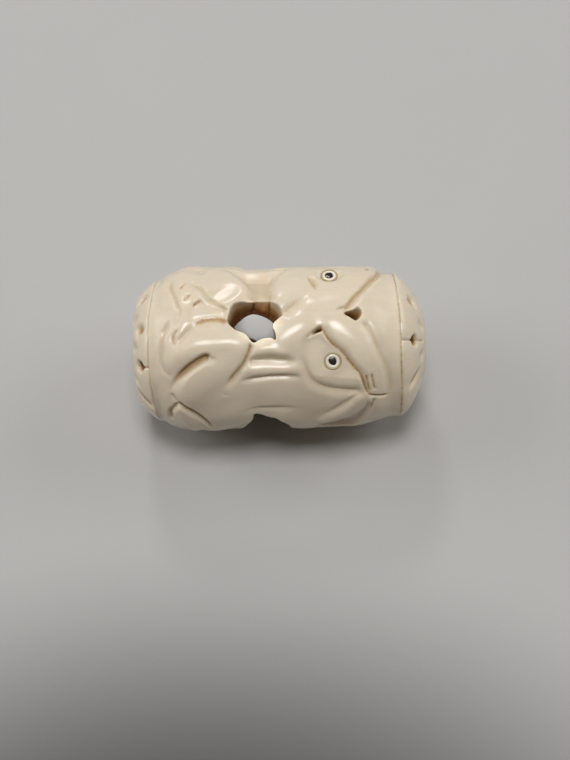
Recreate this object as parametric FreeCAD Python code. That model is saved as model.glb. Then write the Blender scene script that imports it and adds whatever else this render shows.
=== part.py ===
import FreeCAD, Part
import math
import os

from FreeCAD import Placement, Rotation, Vector

# Carved toggle: a hollow barrel pierced by three side windows, with three crouching frogs in
# relief round it, closed at both ends by petalled caps. Lengths in millimetres, angles in degrees.
# X runs along the barrel from the tail cap to the head cap, Z is up, and the origin is on the axis
# at mid length. The toggle lies on its side, on the legs and arms of the frog that points down.

# Barrel
barrel_length = 31.7
barrel_radius = 10.9          # crown of the legs, arms and heads
head_rim_drop = 1.1           # fall from the crown to the rim at each seam
tail_rim_drop = 1.4
rim_band = 1.9                # plain ring left beside each seam
draw_in = 5.2                 # length over which the barrel rounds down to each rim
carving_depth = 1.3           # from the crown to the ground between the limbs
cavity_radius = 6.5           # hollow core

# Caps
head_cap_length = 4.0
tail_cap_length = 2.3
head_cap_face_radius = 3.8    # flat end of each dome
tail_cap_face_radius = 5.2
cap_step = 0.1                # the caps stand this much inside the rims
spigot_length = 2.0
glue_gap = 0.05               # round each spigot, and round each eye piece
cord_bore_radius = 1.25
head_petals = 9
tail_petals = 11
head_petal_angle = 68.0       # of one nick, from level on the front side
tail_petal_angle = 53.0
petal_cut_width = 0.5
petal_cut_depth = 0.5
pit_radius = 0.6
pit_depth = 1.1

# Windows
window_length = 7.0
window_width = 7.4
window_corner = 2.3
window_from_tail = 13.3       # window's middle, from the tail seam

# Frogs, each limb a round-ended bar laid on the barrel
frog_names = ("front", "back", "under")
first_frog_angle = 30.0       # of the front frog's back, from level on the front side
land_height = 0.12            # how far a limb's crown is pared down to the barrel's radius
body_radius = 5.5
body_drop = 0.45              # the back lies this far below the limbs
thigh_radius = 2.5
shank_radius = 1.9
ankle_radius = 1.75
foot_radius = 1.5
upper_arm_radius = 2.4
elbow_radius = 2.1
forearm_radius = 1.8
hand_radius = 1.2
head_radius = 4.6
snout_radius = 2.4
snout_drop = 0.5              # the snout lies this far below the brow

# Joints of the hind legs: distance from the tail seam, and angle from the frog's back
rump = (6.6, 16.0)
knee = (10.9, 35.0)
shin = (6.4, 41.0)
ankle = (3.2, 26.0)
heel = (3.9, 33.0)
toes = (6.4, 54.0)

# Joints of the arms and head: distance from the head seam, and angle from the frog's back
breast = (13.6, 28.0)
shoulder = (13.8, 46.0)
elbow = (10.2, 56.0)
wrist = (5.6, 34.0)
fingers = (3.4, 11.5)
brow = (9.6, 21.0)
cheek = (8.2, 19.0)
snout_root = (8.0, 0.0)
snout_tip = (6.0, 0.0)
back_from_tail = 6.0          # ends of the back, from the tail seam and the head seam
back_from_head = 12.0

# Small piercings
armpit_radius = 0.55
armpit_depth = 1.8
armpit = (10.2, 46.0)
wrist_hole_radius = 1.0       # between the wrists of neighbouring frogs
wrist_hole_from_head = 5.6

# Eyes
eye = (8.5, 24.0)
eye_radius = 0.95
eye_thickness = 0.8
pupil_radius = 0.48
pupil_gap = 0.02
pupil_seat = 0.1              # disc left under each pupil
pupil_proud = 0.04

# Places that follow from the sizes above
total_length = tail_cap_length + barrel_length + head_cap_length
tail_end_x = -total_length / 2
head_end_x = total_length / 2
tail_seam_x = tail_end_x + tail_cap_length
head_seam_x = head_end_x - head_cap_length
window_x = tail_seam_x + window_from_tail
wrist_hole_x = head_seam_x - wrist_hole_from_head
armpit_x = head_seam_x - armpit[0]
eye_x = head_seam_x - eye[0]
frog_pitch = 360.0 / len(frog_names)
spigot_radius = cavity_radius - glue_gap
head_rim_radius = barrel_radius - head_rim_drop
tail_rim_radius = barrel_radius - tail_rim_drop
ground_radius = barrel_radius - carving_depth
AXIS = Vector(1, 0, 0)


def on_barrel(x, angle, radius):
    """Point at a distance along the barrel, an angle from level on the front side, and a radius."""
    turn = math.radians(angle)
    return Vector(x, -radius * math.cos(turn), radius * math.sin(turn))


def revolved(profile):
    """Solid of revolution about X of a closed profile drawn in the X-Z half plane."""
    return Part.Face(Part.Wire(profile)).revolve(Vector(0, 0, 0), AXIS, 360)


def line(start, end):
    return Part.LineSegment(Vector(start[0], 0, start[1]), Vector(end[0], 0, end[1])).toShape()


def arc(start, middle, end):
    points = [Vector(point[0], 0, point[1]) for point in (start, middle, end)]
    return Part.Arc(*points).toShape()


def draw_in_bend(rim_radius):
    """Radius of the arc that rounds the barrel down to a rim."""
    drop = barrel_radius - rim_radius
    return (draw_in ** 2 + drop ** 2) / (2 * drop)


def draw_in_arc(seam_x, inward, rim_radius):
    """Rim, middle and crown points of the arc that rounds the barrel down to a seam."""
    bend = draw_in_bend(rim_radius)
    half_sweep = math.asin(draw_in / bend) / 2
    crown_x = seam_x + inward * draw_in
    middle = (crown_x - inward * bend * math.sin(half_sweep),
              barrel_radius - bend * (1 - math.cos(half_sweep)))
    return (seam_x, rim_radius), middle, (crown_x, barrel_radius)


def crown_radius(x):
    """Radius of the uncarved barrel at a distance along it, towards the head."""
    bend = draw_in_bend(head_rim_radius)
    into_arc = max(0.0, x - head_seam_x + draw_in)
    return barrel_radius - bend + math.sqrt(bend ** 2 - into_arc ** 2)


def uncarved_barrel():
    tail_rim, tail_middle, tail_crown = draw_in_arc(tail_seam_x, 1, tail_rim_radius)
    head_rim, head_middle, head_crown = draw_in_arc(head_seam_x, -1, head_rim_radius)
    return revolved([
        line((tail_seam_x, 0), tail_rim),
        arc(tail_rim, tail_middle, tail_crown),
        line(tail_crown, head_crown),
        arc(head_crown, head_middle, head_rim),
        line(head_rim, (head_seam_x, 0)),
        line((head_seam_x, 0), (tail_seam_x, 0)),
    ])


def ground_sleeve():
    """What is carved away between the two rims: the space from the ground to the crown."""
    slope = barrel_radius - ground_radius
    tail_x = tail_seam_x + rim_band
    head_x = head_seam_x - rim_band
    outside = barrel_radius + slope
    corners = [
        (tail_x + slope, ground_radius),
        (tail_x - slope, outside),
        (head_x + slope, outside),
        (head_x - slope, ground_radius),
    ]
    return revolved([line(corners[i - 1], corners[i]) for i in range(len(corners))])


def bar(start, end, radius):
    """Round-ended bar between two points."""
    run = end - start
    length = run.Length
    bottom = Part.Arc(Vector(0, 0, -radius),
                      Vector(radius * math.sqrt(0.5), 0, -radius * math.sqrt(0.5)),
                      Vector(radius, 0, 0)).toShape()
    side = Part.LineSegment(Vector(radius, 0, 0), Vector(radius, 0, length)).toShape()
    top = Part.Arc(Vector(radius, 0, length),
                   Vector(radius * math.sqrt(0.5), 0, length + radius * math.sqrt(0.5)),
                   Vector(0, 0, length + radius)).toShape()
    core = Part.LineSegment(Vector(0, 0, length + radius), Vector(0, 0, -radius)).toShape()
    profile = Part.Face(Part.Wire([bottom, side, top, core]))
    solid = profile.revolve(Vector(0, 0, 0), Vector(0, 0, 1), 360)
    solid.Placement = Placement(start, Rotation(Vector(0, 0, 1), run))
    return solid


def limb(start, end, radius, drop=0.0):
    """Bar laid on the barrel between two (x, angle) places, its crown pared by the barrel."""
    centre_radius = barrel_radius + land_height - radius - drop
    return bar(on_barrel(start[0], start[1], centre_radius),
               on_barrel(end[0], end[1], centre_radius), radius)


def frog_half(side):
    """Limbs on one side of a frog, whose back runs level along the front side."""
    def from_tail(joint):
        return (tail_seam_x + joint[0], side * joint[1])

    def from_head(joint):
        return (head_seam_x - joint[0], side * joint[1])

    return [
        limb(from_tail(rump), from_tail(knee), thigh_radius),
        limb(from_tail(knee), from_tail(shin), shank_radius),
        limb(from_tail(shin), from_tail(ankle), ankle_radius),
        limb(from_tail(heel), from_tail(toes), foot_radius),
        limb(from_head(breast), from_head(shoulder), upper_arm_radius),
        limb(from_head(shoulder), from_head(elbow), elbow_radius),
        limb(from_head(elbow), from_head(wrist), forearm_radius),
        limb(from_head(wrist), from_head(fingers), hand_radius),
        limb(from_head(brow), from_head(cheek), head_radius),
    ]


def frog():
    """One frog in the round, its back along the level line of the front side."""
    back = limb((tail_seam_x + back_from_tail, 0), (head_seam_x - back_from_head, 0),
                body_radius, body_drop)
    snout = limb((head_seam_x - snout_root[0], snout_root[1]),
                 (head_seam_x - snout_tip[0], snout_tip[1]), snout_radius, snout_drop)
    solid = back.fuse(snout)
    for form in frog_half(1) + frog_half(-1):
        solid = solid.fuse(form)
    return solid.common(uncarved_barrel())


def radial_prism(x, angle, length, width, corner, inner, outer):
    """Rounded rectangular post along a radius, between two radii."""
    half_x = length / 2
    half_y = width / 2
    post = Part.makeBox(length, width, outer - inner, Vector(-half_x, -half_y, inner))
    upright = [edge for edge in post.Edges
               if abs(edge.Vertexes[0].Z - edge.Vertexes[-1].Z) > (outer - inner) / 2]
    post = post.makeFillet(corner, upright)
    post.translate(Vector(x, 0, 0))
    return turned(post, angle - 90)


def turned(shape, angle):
    """Copy of a shape, turned about the barrel's axis, front side upwards."""
    shape = shape.copy()
    shape.rotate(Vector(0, 0, 0), AXIS, -angle)
    return shape


def radial_cylinder(x, angle, radius, inner, outer):
    return Part.makeCylinder(radius, outer - inner, on_barrel(x, angle, inner),
                             on_barrel(0, angle, 1))


def frog_angles():
    return [first_frog_angle + i * frog_pitch for i in range(len(frog_names))]


def eye_places():
    """Name and angle of each eye. The front frog turns its head, and shows only its upper eye."""
    places = []
    for name, middle in zip(frog_names, frog_angles()):
        places.append((name + "_frog_upper_eye", middle + eye[1]))
        if name != frog_names[0]:
            places.append((name + "_frog_lower_eye", middle - eye[1]))
    return places


def piercings():
    """Core, windows, wrist holes, armpit pits and eye sockets, as solids to cut away."""
    outer = barrel_radius + land_height
    inside = cavity_radius / 2
    tools = [Part.makeCylinder(cavity_radius, barrel_length, Vector(tail_seam_x, 0, 0), AXIS)]
    for middle in frog_angles():
        between = middle + frog_pitch / 2
        tools.append(radial_prism(window_x, between, window_length, window_width,
                                  window_corner, inside, outer))
        tools.append(radial_cylinder(wrist_hole_x, between, wrist_hole_radius, inside, outer))
        for side in (1, -1):
            tools.append(radial_cylinder(armpit_x, middle + side * armpit[1], armpit_radius,
                                         barrel_radius - armpit_depth, outer))
    floor = crown_radius(eye_x) - eye_thickness
    for _, angle in eye_places():
        tools.append(radial_cylinder(eye_x, angle, eye_radius + glue_gap, floor, outer))
    return tools


def build_barrel():
    carved = uncarved_barrel().cut(ground_sleeve())
    one_frog = frog()
    for middle in frog_angles():
        carved = carved.fuse(turned(one_frog, middle))
    return carved.cut(piercings())


def build_eye(angle):
    """Pale disc and its dark pupil, seated in the socket at an angle."""
    top = crown_radius(eye_x)
    floor = top - eye_thickness
    seat = floor + pupil_seat
    disc = radial_cylinder(eye_x, angle, eye_radius, floor, top)
    disc = disc.cut(radial_cylinder(eye_x, angle, pupil_radius + pupil_gap, seat, top))
    pupil = radial_cylinder(eye_x, angle, pupil_radius, seat, top + pupil_proud)
    return disc, pupil


class Cap:
    """Domed cap: a spigot that plugs the core, a cord bore, and petals round its edge."""

    def __init__(self, seam_x, outward, length, rim_radius, face_radius):
        self.seam_x = seam_x
        self.outward = outward
        self.face_x = seam_x + outward * length
        self.rim_radius = rim_radius - cap_step
        self.face_radius = face_radius
        fall = self.rim_radius - face_radius
        self.bend = (length ** 2 + fall ** 2) / (2 * length)
        self.sweep = math.asin(fall / self.bend)

    def dome(self, share, height=0.0):
        """Point of the dome at a share of the way from its rim to its face, and a height on it."""
        turn = self.sweep * (1 - share)
        reach = self.bend + height
        return (self.face_x - self.outward * (self.bend - reach * math.cos(turn)),
                self.face_radius + reach * math.sin(turn))

    def blank(self):
        spigot_x = self.seam_x - self.outward * spigot_length
        outline = [
            (self.face_x, self.face_radius),
            (self.face_x, cord_bore_radius),
            (spigot_x, cord_bore_radius),
            (spigot_x, spigot_radius),
            (self.seam_x, spigot_radius),
            (self.seam_x, self.rim_radius),
        ]
        edges = [line(outline[i], outline[i + 1]) for i in range(len(outline) - 1)]
        return revolved(edges + [arc(outline[-1], self.dome(0.5), outline[0])])

    def nick(self, angle):
        """Cut between two petals: a slot of even depth from the rim to half way up the dome."""
        floor = [self.dome(share, -petal_cut_depth) for share in (-0.2, 0.15, 0.5)]
        edge = [self.dome(share, pit_depth) for share in (0.5, 0.15, -0.2)]
        corners = [Vector(x, -petal_cut_width / 2, r) for x, r in floor + edge]
        face = Part.Face(Part.makePolygon(corners + corners[:1]))
        return turned(face.extrude(Vector(0, petal_cut_width, 0)), angle - 90)

    def pit(self, angle):
        """Drilled pit in the middle of a nick."""
        floor_x, floor_r = self.dome(0.4, -pit_depth)
        top_x, top_r = self.dome(0.4, pit_depth)
        floor = on_barrel(floor_x, angle, floor_r)
        direction = on_barrel(top_x, angle, top_r) - floor
        return Part.makeCone(pit_radius / 2, pit_radius * 1.5, 2 * pit_depth, floor, direction)

    def build(self, petals, phase):
        tools = []
        for i in range(petals):
            angle = phase + 360.0 * i / petals
            tools += [self.nick(angle), self.pit(angle)]
        return self.blank().cut(tools)


def build_all():
    pieces = {"carved_barrel": build_barrel()}
    head_cap = Cap(head_seam_x, 1, head_cap_length, head_rim_radius, head_cap_face_radius)
    tail_cap = Cap(tail_seam_x, -1, tail_cap_length, tail_rim_radius, tail_cap_face_radius)
    pieces["head_end_cap"] = head_cap.build(head_petals, head_petal_angle)
    pieces["tail_end_cap"] = tail_cap.build(tail_petals, tail_petal_angle)
    for name, angle in eye_places():
        disc, pupil = build_eye(angle)
        pieces[name + "_disc"] = disc
        pieces[name + "_pupil"] = pupil
    return pieces


os.makedirs("parts", exist_ok=True)
for name, shape in build_all().items():
    shape.exportStep("parts/" + name + ".step")
    print(name, "solids", len(shape.Solids), "valid", shape.isValid(), "mm3", round(shape.Volume, 2))
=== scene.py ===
import logging
import math
from dataclasses import dataclass, field
from enum import Enum
from typing import Callable

import bpy
import numpy as np
from mathutils import Matrix, Vector


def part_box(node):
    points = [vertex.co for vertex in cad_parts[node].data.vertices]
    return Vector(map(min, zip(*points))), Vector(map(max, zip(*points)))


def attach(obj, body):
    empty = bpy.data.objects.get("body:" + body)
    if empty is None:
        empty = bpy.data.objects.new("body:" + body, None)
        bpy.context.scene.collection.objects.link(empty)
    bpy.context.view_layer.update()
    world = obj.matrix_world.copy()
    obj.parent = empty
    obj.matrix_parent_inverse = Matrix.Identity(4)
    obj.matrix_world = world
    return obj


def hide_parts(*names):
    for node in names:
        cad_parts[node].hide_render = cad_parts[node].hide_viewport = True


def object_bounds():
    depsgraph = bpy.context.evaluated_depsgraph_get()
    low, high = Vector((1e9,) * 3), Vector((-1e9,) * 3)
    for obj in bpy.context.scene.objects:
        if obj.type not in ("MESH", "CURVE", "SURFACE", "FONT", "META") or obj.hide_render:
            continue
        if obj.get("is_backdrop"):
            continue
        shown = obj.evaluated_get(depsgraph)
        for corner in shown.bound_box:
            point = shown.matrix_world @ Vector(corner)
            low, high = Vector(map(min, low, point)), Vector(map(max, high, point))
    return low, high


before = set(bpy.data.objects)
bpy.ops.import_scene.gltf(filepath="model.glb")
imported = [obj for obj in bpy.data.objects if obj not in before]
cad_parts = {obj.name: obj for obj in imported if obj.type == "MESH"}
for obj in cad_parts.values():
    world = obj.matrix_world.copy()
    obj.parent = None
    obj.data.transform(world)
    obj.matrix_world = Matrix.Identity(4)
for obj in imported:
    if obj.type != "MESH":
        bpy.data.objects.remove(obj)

# Looks of the carved barrel toggle: frogs in relief round a pierced bone barrel, two petalled caps,
# and inlaid eyes. Sizes are in millimetres and degrees unless a name says otherwise, and meshes are
# handed to Blender in metres.
#
# The relief is drawn on an unrolled sheet. A place on it is a distance along the barrel, towards
# the head cap, and an angle up round it. SHEET_ORIGIN_X and SHEET_ORIGIN_ANGLE put the sheet's
# zero on the barrel, as a distance from its middle and an angle from level on its front side.
# SCRIBED is the half width of a thin scribed line.

LOG = logging.getLogger("toggle")

MM = 0.001
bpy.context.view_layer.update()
SHEET_ORIGIN_X = -0.5
SHEET_ORIGIN_ANGLE = 66.0
SHEET_RADIUS = 10.6
FROG_PITCH = 120.0
SCRIBED = 0.13
CELL_CORNERS = [(i, j, k) for i in (0, 1) for j in (0, 1) for k in (0, 1)]

Array = np.ndarray
Pair = tuple[float, float]
Place = tuple[float, float]
Triple = tuple[float, float, float]
Socket = bpy.types.NodeSocket


def ease(value: Array, low: float, high: float) -> Array:
    """Smooth step.

    Args:
        value: Numbers to map.
        low: Value that gives 0.
        high: Value that gives 1.

    Returns:
        Numbers from 0 to 1, level at both ends.
    """
    share = np.clip((value - low) / (high - low), 0.0, 1.0)
    return share * share * (3.0 - 2.0 * share)


def soft_min(first: Array, second: Array, reach: float) -> Array:
    """Lower of two fields, blended where they are closer than a reach.

    Args:
        first: One field.
        second: The other field.
        reach: Difference within which the two are blended.

    Returns:
        The blended field.
    """
    overlap = np.maximum(reach - np.abs(first - second), 0.0) / reach
    return np.minimum(first, second) - overlap * overlap * reach / 4.0


def on_barrel(x: Array | float, angle: Array | float, radius: Array | float) -> Array:
    """Places in space from places round the barrel.

    Args:
        x: Distance along the barrel from its middle.
        angle: Angle from level on the front side, upwards.
        radius: Distance from the axis.

    Returns:
        Points, with the last axis holding x, y and z.
    """
    turn = np.radians(angle)
    return np.stack(np.broadcast_arrays(x, -radius * np.cos(turn), radius * np.sin(turn)), axis=-1)


def to_mm(place: Place) -> Array:
    """Place on the sheet in millimetres both ways."""
    return np.array((place[0], math.radians(place[1]) * SHEET_RADIUS))


def turned(places: tuple[Place, ...], turn: float) -> tuple[Place, ...]:
    """Places moved round the barrel by an angle."""
    return tuple((along, angle + turn) for along, angle in places)


def half_turn_off(angle: Array, middle: float) -> Array:
    """Angles from a middle one, from -180 to 180."""
    return (angle - middle + 180.0) % 360.0 - 180.0


def spline(places: tuple[Place, ...], closed: bool = False, step: float = 0.25) -> Array:
    """Smooth curve through places on the sheet.

    Args:
        places: Distance and angle of each place.
        closed: Whether the curve comes back to its start.
        step: Spacing of the points made along it.

    Returns:
        Points of the curve in millimetres both ways.
    """
    knots = np.array([to_mm(place) for place in places])
    if closed:
        knots = np.vstack((knots[-1:], knots, knots[:2]))
    else:
        knots = np.vstack((2 * knots[:1] - knots[1:2], knots, 2 * knots[-1:] - knots[-2:-1]))
    points = []
    for before, start, end, after in zip(knots, knots[1:], knots[2:], knots[3:]):
        count = max(2, int(np.linalg.norm(end - start) / step) + 1)
        share = np.linspace(0.0, 1.0, count, endpoint=False)[:, None]
        points.append(0.5 * (2 * start + (end - before) * share
                             + (2 * before - 5 * start + 4 * end - after) * share ** 2
                             + (3 * start - before - 3 * end + after) * share ** 3))
    return np.vstack((*points, knots[-2:-1]))


class Sheet:
    """Unrolled barrel wall, as grids.

    `rise` and `cut` are added to the surface and taken from it, the grime grid holds the dirt and
    painted shade on it, `plane` is the radius of its flat places and `planed` how much they take over.
    Each opening is two grids of the distance within it, at its mouth and its throat, then its floor
    and its edge's rounding.
    """

    def __init__(self, tail_x: float, head_x: float, pitch: float) -> None:
        """Makes blank grids.

        Args:
            tail_x: Tail end of the barrel, from its middle.
            head_x: Head end of the barrel, from its middle.
            pitch: Spacing of the grids.
        """
        self.start = tail_x - SHEET_ORIGIN_X - 2 * pitch
        self.rows = int((head_x - tail_x) / pitch) + 5
        self.columns = int(2 * math.pi * SHEET_RADIUS / pitch)
        self.pitch = pitch
        self.arc_pitch = 2 * math.pi * SHEET_RADIUS / self.columns
        blank = np.zeros((self.rows, self.columns))
        self.rise, self.cut, self.grime, self.plane, self.planed = (blank.copy() for _ in range(5))
        self.openings: list[tuple[Array, Array, float, float]] = []

    def along(self) -> Array:
        """Distance of each row from the barrel's middle."""
        return self.start + SHEET_ORIGIN_X + self.pitch * np.arange(self.rows)

    def window(self, curve: Array, reach: float) -> tuple[tuple, Array, Array]:
        """Part of the grids near a curve.

        Args:
            curve: Points in millimetres both ways.
            reach: Room to leave round them.

        Returns:
            The index of that part, and the two coordinates of its points.
        """
        low = curve.min(axis=0) - reach
        high = curve.max(axis=0) + reach
        first = max(0, int((low[0] - self.start) / self.pitch))
        last = min(self.rows, int((high[0] - self.start) / self.pitch) + 2)
        rows = np.arange(first, last)
        columns = np.arange(math.floor(low[1] / self.arc_pitch), math.ceil(high[1] / self.arc_pitch) + 1)
        index = np.ix_(rows, columns % self.columns)
        along, around = np.meshgrid(self.start + rows * self.pitch, columns * self.arc_pitch,
                                    indexing="ij")
        return index, along, around

    @staticmethod
    def measure(curve: Array, along: Array, around: Array) -> tuple[Array, Array]:
        """Distance of points from a curve.

        Args:
            curve: Points of the curve.
            along: First coordinate of the points.
            around: Second coordinate of the points.

        Returns:
            The distance, positive on the curve's left, and how far along the curve it is, 0 to 1.
        """
        best = np.full(along.shape, np.inf)
        side = np.zeros(along.shape)
        share = np.zeros(along.shape)
        lengths = np.linalg.norm(np.diff(curve, axis=0), axis=1)
        reached = np.concatenate(((0.0,), np.cumsum(lengths)))
        for start, end, length, before in zip(curve, curve[1:], lengths, reached):
            if length == 0.0:
                continue
            heading = (end - start) / length
            ahead = np.clip((along - start[0]) * heading[0] + (around - start[1]) * heading[1],
                            0.0, length)
            off_x = along - start[0] - ahead * heading[0]
            off_y = around - start[1] - ahead * heading[1]
            gap = np.hypot(off_x, off_y)
            nearer = gap < best
            best = np.where(nearer, gap, best)
            side = np.where(nearer, heading[0] * off_y - heading[1] * off_x, side)
            share = np.where(nearer, (before + ahead) / reached[-1], share)
        return np.where(side < 0.0, -best, best), share

    @staticmethod
    def inside(outline: Array, along: Array, around: Array) -> Array:
        """Finds points inside a closed outline, by counting its crossings on one side of each.

        Args:
            outline: Points of the outline.
            along: First coordinate of the points.
            around: Second coordinate of the points.

        Returns:
            Whether each point is inside.
        """
        crossings = np.zeros(along.shape, dtype=int)
        for start, end in zip(outline, np.roll(outline, -1, axis=0)):
            if start[1] == end[1]:
                continue
            between = (start[1] > around) != (end[1] > around)
            crossing = start[0] + (around - start[1]) * (end[0] - start[0]) / (end[1] - start[1])
            crossings += between & (along < crossing)
        return crossings % 2 == 1

    def off_curve(self, places: tuple[Place, ...], reach: float) -> tuple[tuple, Array, Array]:
        """Distance from a curve, on the part of the grids near it.

        Args:
            places: Places of the curve.
            reach: Room to leave round it.

        Returns:
            The index of that part, and what `measure` gives there.
        """
        curve = spline(places)
        index, along, around = self.window(curve, reach)
        return index, *self.measure(curve, along, around)

    def within(self, places: tuple[Place, ...], reach: float) -> tuple[tuple, Array, Array]:
        """Distance within a closed outline, on the part of the grids near it.

        Args:
            places: Places of the outline.
            reach: Room to leave round it.

        Returns:
            The index of that part, the distance, negative outside, and the angle of each point.
        """
        outline = spline(places, closed=True)
        index, along, around = self.window(outline, reach)
        gap = np.abs(self.measure(outline, along, around)[0])
        within = np.where(self.inside(outline, along, around), gap, -gap)
        return index, within, np.degrees(around / SHEET_RADIUS)


def seam_wander(outward: int, angle: Array) -> Array:
    """How far a seam, filed and fitted by hand, strays along the barrel.

    Args:
        outward: 1 at the head end, -1 at the tail end.
        angle: Angle round it on the sheet.

    Returns:
        Distance to add to the seam's place.
    """
    turn = np.radians(angle)
    head_shift, head_sway, head_lag = 0.16, 0.3, 0.2
    tail_shift, tail_sway = 0.08, 0.68
    if outward > 0:
        return head_shift - head_sway * np.sin(turn - head_lag) * np.abs(np.sin(turn - head_lag))
    return tail_shift + tail_sway * np.sin(turn) ** 2


def seam_dirt(outward: Array | int, angle: Array) -> Array:
    """Dirt along a seam: an even film with darker specks.

    Args:
        outward: Above 0 at the head end, below 0 at the tail end, which holds less.
        angle: Angle round it on the sheet.

    Returns:
        Dirt at each angle.
    """
    speck_count, faintest, strongest, narrowest, widest = 110, 0.1, 0.34, 0.4, 1.6
    film, speck_share, tail_share = 0.16, 0.7, 0.55
    draw = np.random.default_rng(5)
    specks = np.zeros_like(angle)
    for middle in draw.uniform(0.0, 360.0, speck_count):
        strength = draw.uniform(faintest, strongest)
        reach = draw.uniform(narrowest, widest)
        specks = np.maximum(specks, strength * np.exp(-(half_turn_off(angle, middle) / reach) ** 2))
    return (film + speck_share * specks) * np.where(np.asarray(outward) > 0, 1.0, tail_share)


@dataclass(frozen=True)
class Groove:
    """V cut along a curve, with a bank on each side, left and right in the direction of cutting.

    `banks` are their reaches and `bows` how hollow they are, from 1 for straight. `fades` are the
    shares of the length over which it starts and ends, from `lead` beyond its ends. Dirt and painted
    shade come in over its banks between two shares of the depth, and more of it lies in a thin dark
    line at its bottom.
    """

    places: tuple[Place, ...]
    depth: float
    banks: Pair
    bows: Pair = (2.0, 2.0)
    fades: Pair = (0.2, 0.2)
    dirt_and_shade: float = 0.2
    line: float = 0.22
    dirt_and_shade_banks: Pair = (0.1, 0.75)
    lead: float = 0.02

    def work(self, sheet: Sheet, turn: float) -> None:
        """Cuts it.

        Args:
            sheet: Sheet to cut.
            turn: Angle by which the cut is moved round the barrel.
        """
        index, gap, share = sheet.off_curve(turned(self.places, turn), max(self.banks))
        fade = ease(share, -self.lead, self.fades[0]) * ease(1.0 - share, -self.lead, self.fades[1])
        left = np.clip(1.0 - gap / self.banks[0], 0.0, 1.0) ** self.bows[0]
        right = np.clip(1.0 + gap / self.banks[1], 0.0, 1.0) ** self.bows[1]
        bank = fade * np.where(gap >= 0.0, left, right)
        sheet.cut[index] = np.maximum(sheet.cut[index], self.depth * bank)
        # Dirt and painted shade: darker the deeper in the cut, and a thin dark line at its bottom.
        line = self.line * fade * np.exp(-(gap / SCRIBED) ** 2)
        grime = self.dirt_and_shade * ease(bank, *self.dirt_and_shade_banks) + line
        sheet.grime[index] = np.maximum(sheet.grime[index], grime)


@dataclass(frozen=True)
class Swell:
    """Rounded rise along a curve, the more pointed the higher its `bow` is."""

    places: tuple[Place, ...]
    height: float
    reach: float
    bow: float = 1.5

    def work(self, sheet: Sheet, turn: float) -> None:
        """Raises it.

        Args:
            sheet: Sheet to raise it on.
            turn: Angle by which it is moved round the barrel.
        """
        index, gap, _ = sheet.off_curve(turned(self.places, turn), self.reach)
        rise = self.height * np.clip(1.0 - (gap / self.reach) ** 2, 0.0, 1.0) ** self.bow
        sheet.rise[index] = np.maximum(sheet.rise[index], rise)


@dataclass(frozen=True)
class Hollow:
    """Recess with a closed outline and banks that fall inwards from it.

    The banks start outside the outline, by `overlap` of their reach. The floor can run out between
    two angles.
    """

    places: tuple[Place, ...]
    depth: float
    bank: float
    dirt_and_shade: float = 0.0
    run_out: Pair = (400.0, 500.0)
    overlap: float = 0.15
    dirt_and_shade_banks: Pair = (0.2, 0.9)

    def work(self, sheet: Sheet, turn: float) -> None:
        """Cuts it.

        Args:
            sheet: Sheet to cut.
            turn: Angle by which it is moved round the barrel.
        """
        index, within, angle = sheet.within(turned(self.places, turn), self.bank)
        low, high = self.run_out
        kept = 1.0 - np.clip((angle - turn - low) / (high - low), 0.0, 1.0)
        share = ease(within, -self.overlap * self.bank, self.bank) * kept
        sheet.cut[index] = np.maximum(sheet.cut[index], self.depth * share)
        # Dirt and painted shade on the recess, darker the deeper.
        grime = self.dirt_and_shade * ease(share, *self.dirt_and_shade_banks)
        sheet.grime[index] = np.maximum(sheet.grime[index], grime)


@dataclass(frozen=True)
class Opening:
    """Hole from a closed outline at its mouth, right through the wall or down to a floor.

    A hole with a throat changes to that outline on its way to the core. The mouth's edge is rounded
    over `soft`, and `clean` of the dirt and painted shade is taken off inside it and up to
    `clean_edge` round it. Beyond `far` from the outline nothing is measured.
    """

    places: tuple[Place, ...]
    throat: tuple[Place, ...] = ()
    floor: float = 0.0
    soft: float = 0.4
    far: float = 3.0
    clean: float = 0.0
    clean_edge: float = 0.5

    def gap(self, sheet: Sheet, places: tuple[Place, ...]) -> Array:
        """Distance within an outline over the whole sheet.

        Args:
            sheet: Sheet to measure on.
            places: Places of the outline.

        Returns:
            The distance, negative outside and no less than -`far`.
        """
        index, within, _ = sheet.within(places, self.far)
        gap = np.full(sheet.cut.shape, -self.far)
        gap[index] = np.maximum(within, -self.far)
        return gap

    def work(self, sheet: Sheet, turn: float) -> None:
        """Adds it to a sheet's openings.

        Args:
            sheet: Sheet to open.
            turn: Angle by which it is moved round the barrel.
        """
        mouth = self.gap(sheet, turned(self.places, turn))
        throat = self.gap(sheet, turned(self.throat, turn)) if self.throat else mouth
        sheet.openings.append((mouth, throat, self.floor, self.soft))
        sheet.grime -= self.clean * ease(mouth, -self.clean_edge, 0.0)


@dataclass(frozen=True)
class Facet:
    """Flat place with a closed outline, leaning to face higher angles than its middle does.

    `level` is its distance from the axis at the middle, and changes by `slope` along the barrel.
    """

    places: tuple[Place, ...]
    middle_angle: float
    level: float
    lean: float
    bank: float = 0.8
    slope: float = 0.0

    def work(self, sheet: Sheet, turn: float) -> None:
        """Planes it.

        Args:
            sheet: Sheet to plane.
            turn: Angle by which it is moved round the barrel.
        """
        index, within, angle = sheet.within(turned(self.places, turn), self.bank)
        off = np.radians(angle - turn - self.middle_angle - self.lean)
        plane = self.level * math.cos(math.radians(self.lean)) / np.cos(off)
        middle_x = spline(self.places, closed=True)[:, 0].mean()
        plane = plane + self.slope * (sheet.along()[index[0]] - SHEET_ORIGIN_X - middle_x)
        share = ease(within, -0.5 * self.bank, 0.5 * self.bank)
        stronger = share > sheet.planed[index]
        sheet.plane[index] = np.where(stronger, plane, sheet.plane[index])
        sheet.planed[index] = np.where(stronger, share, sheet.planed[index])


Feature = Groove | Swell | Hollow | Opening | Facet


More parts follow.
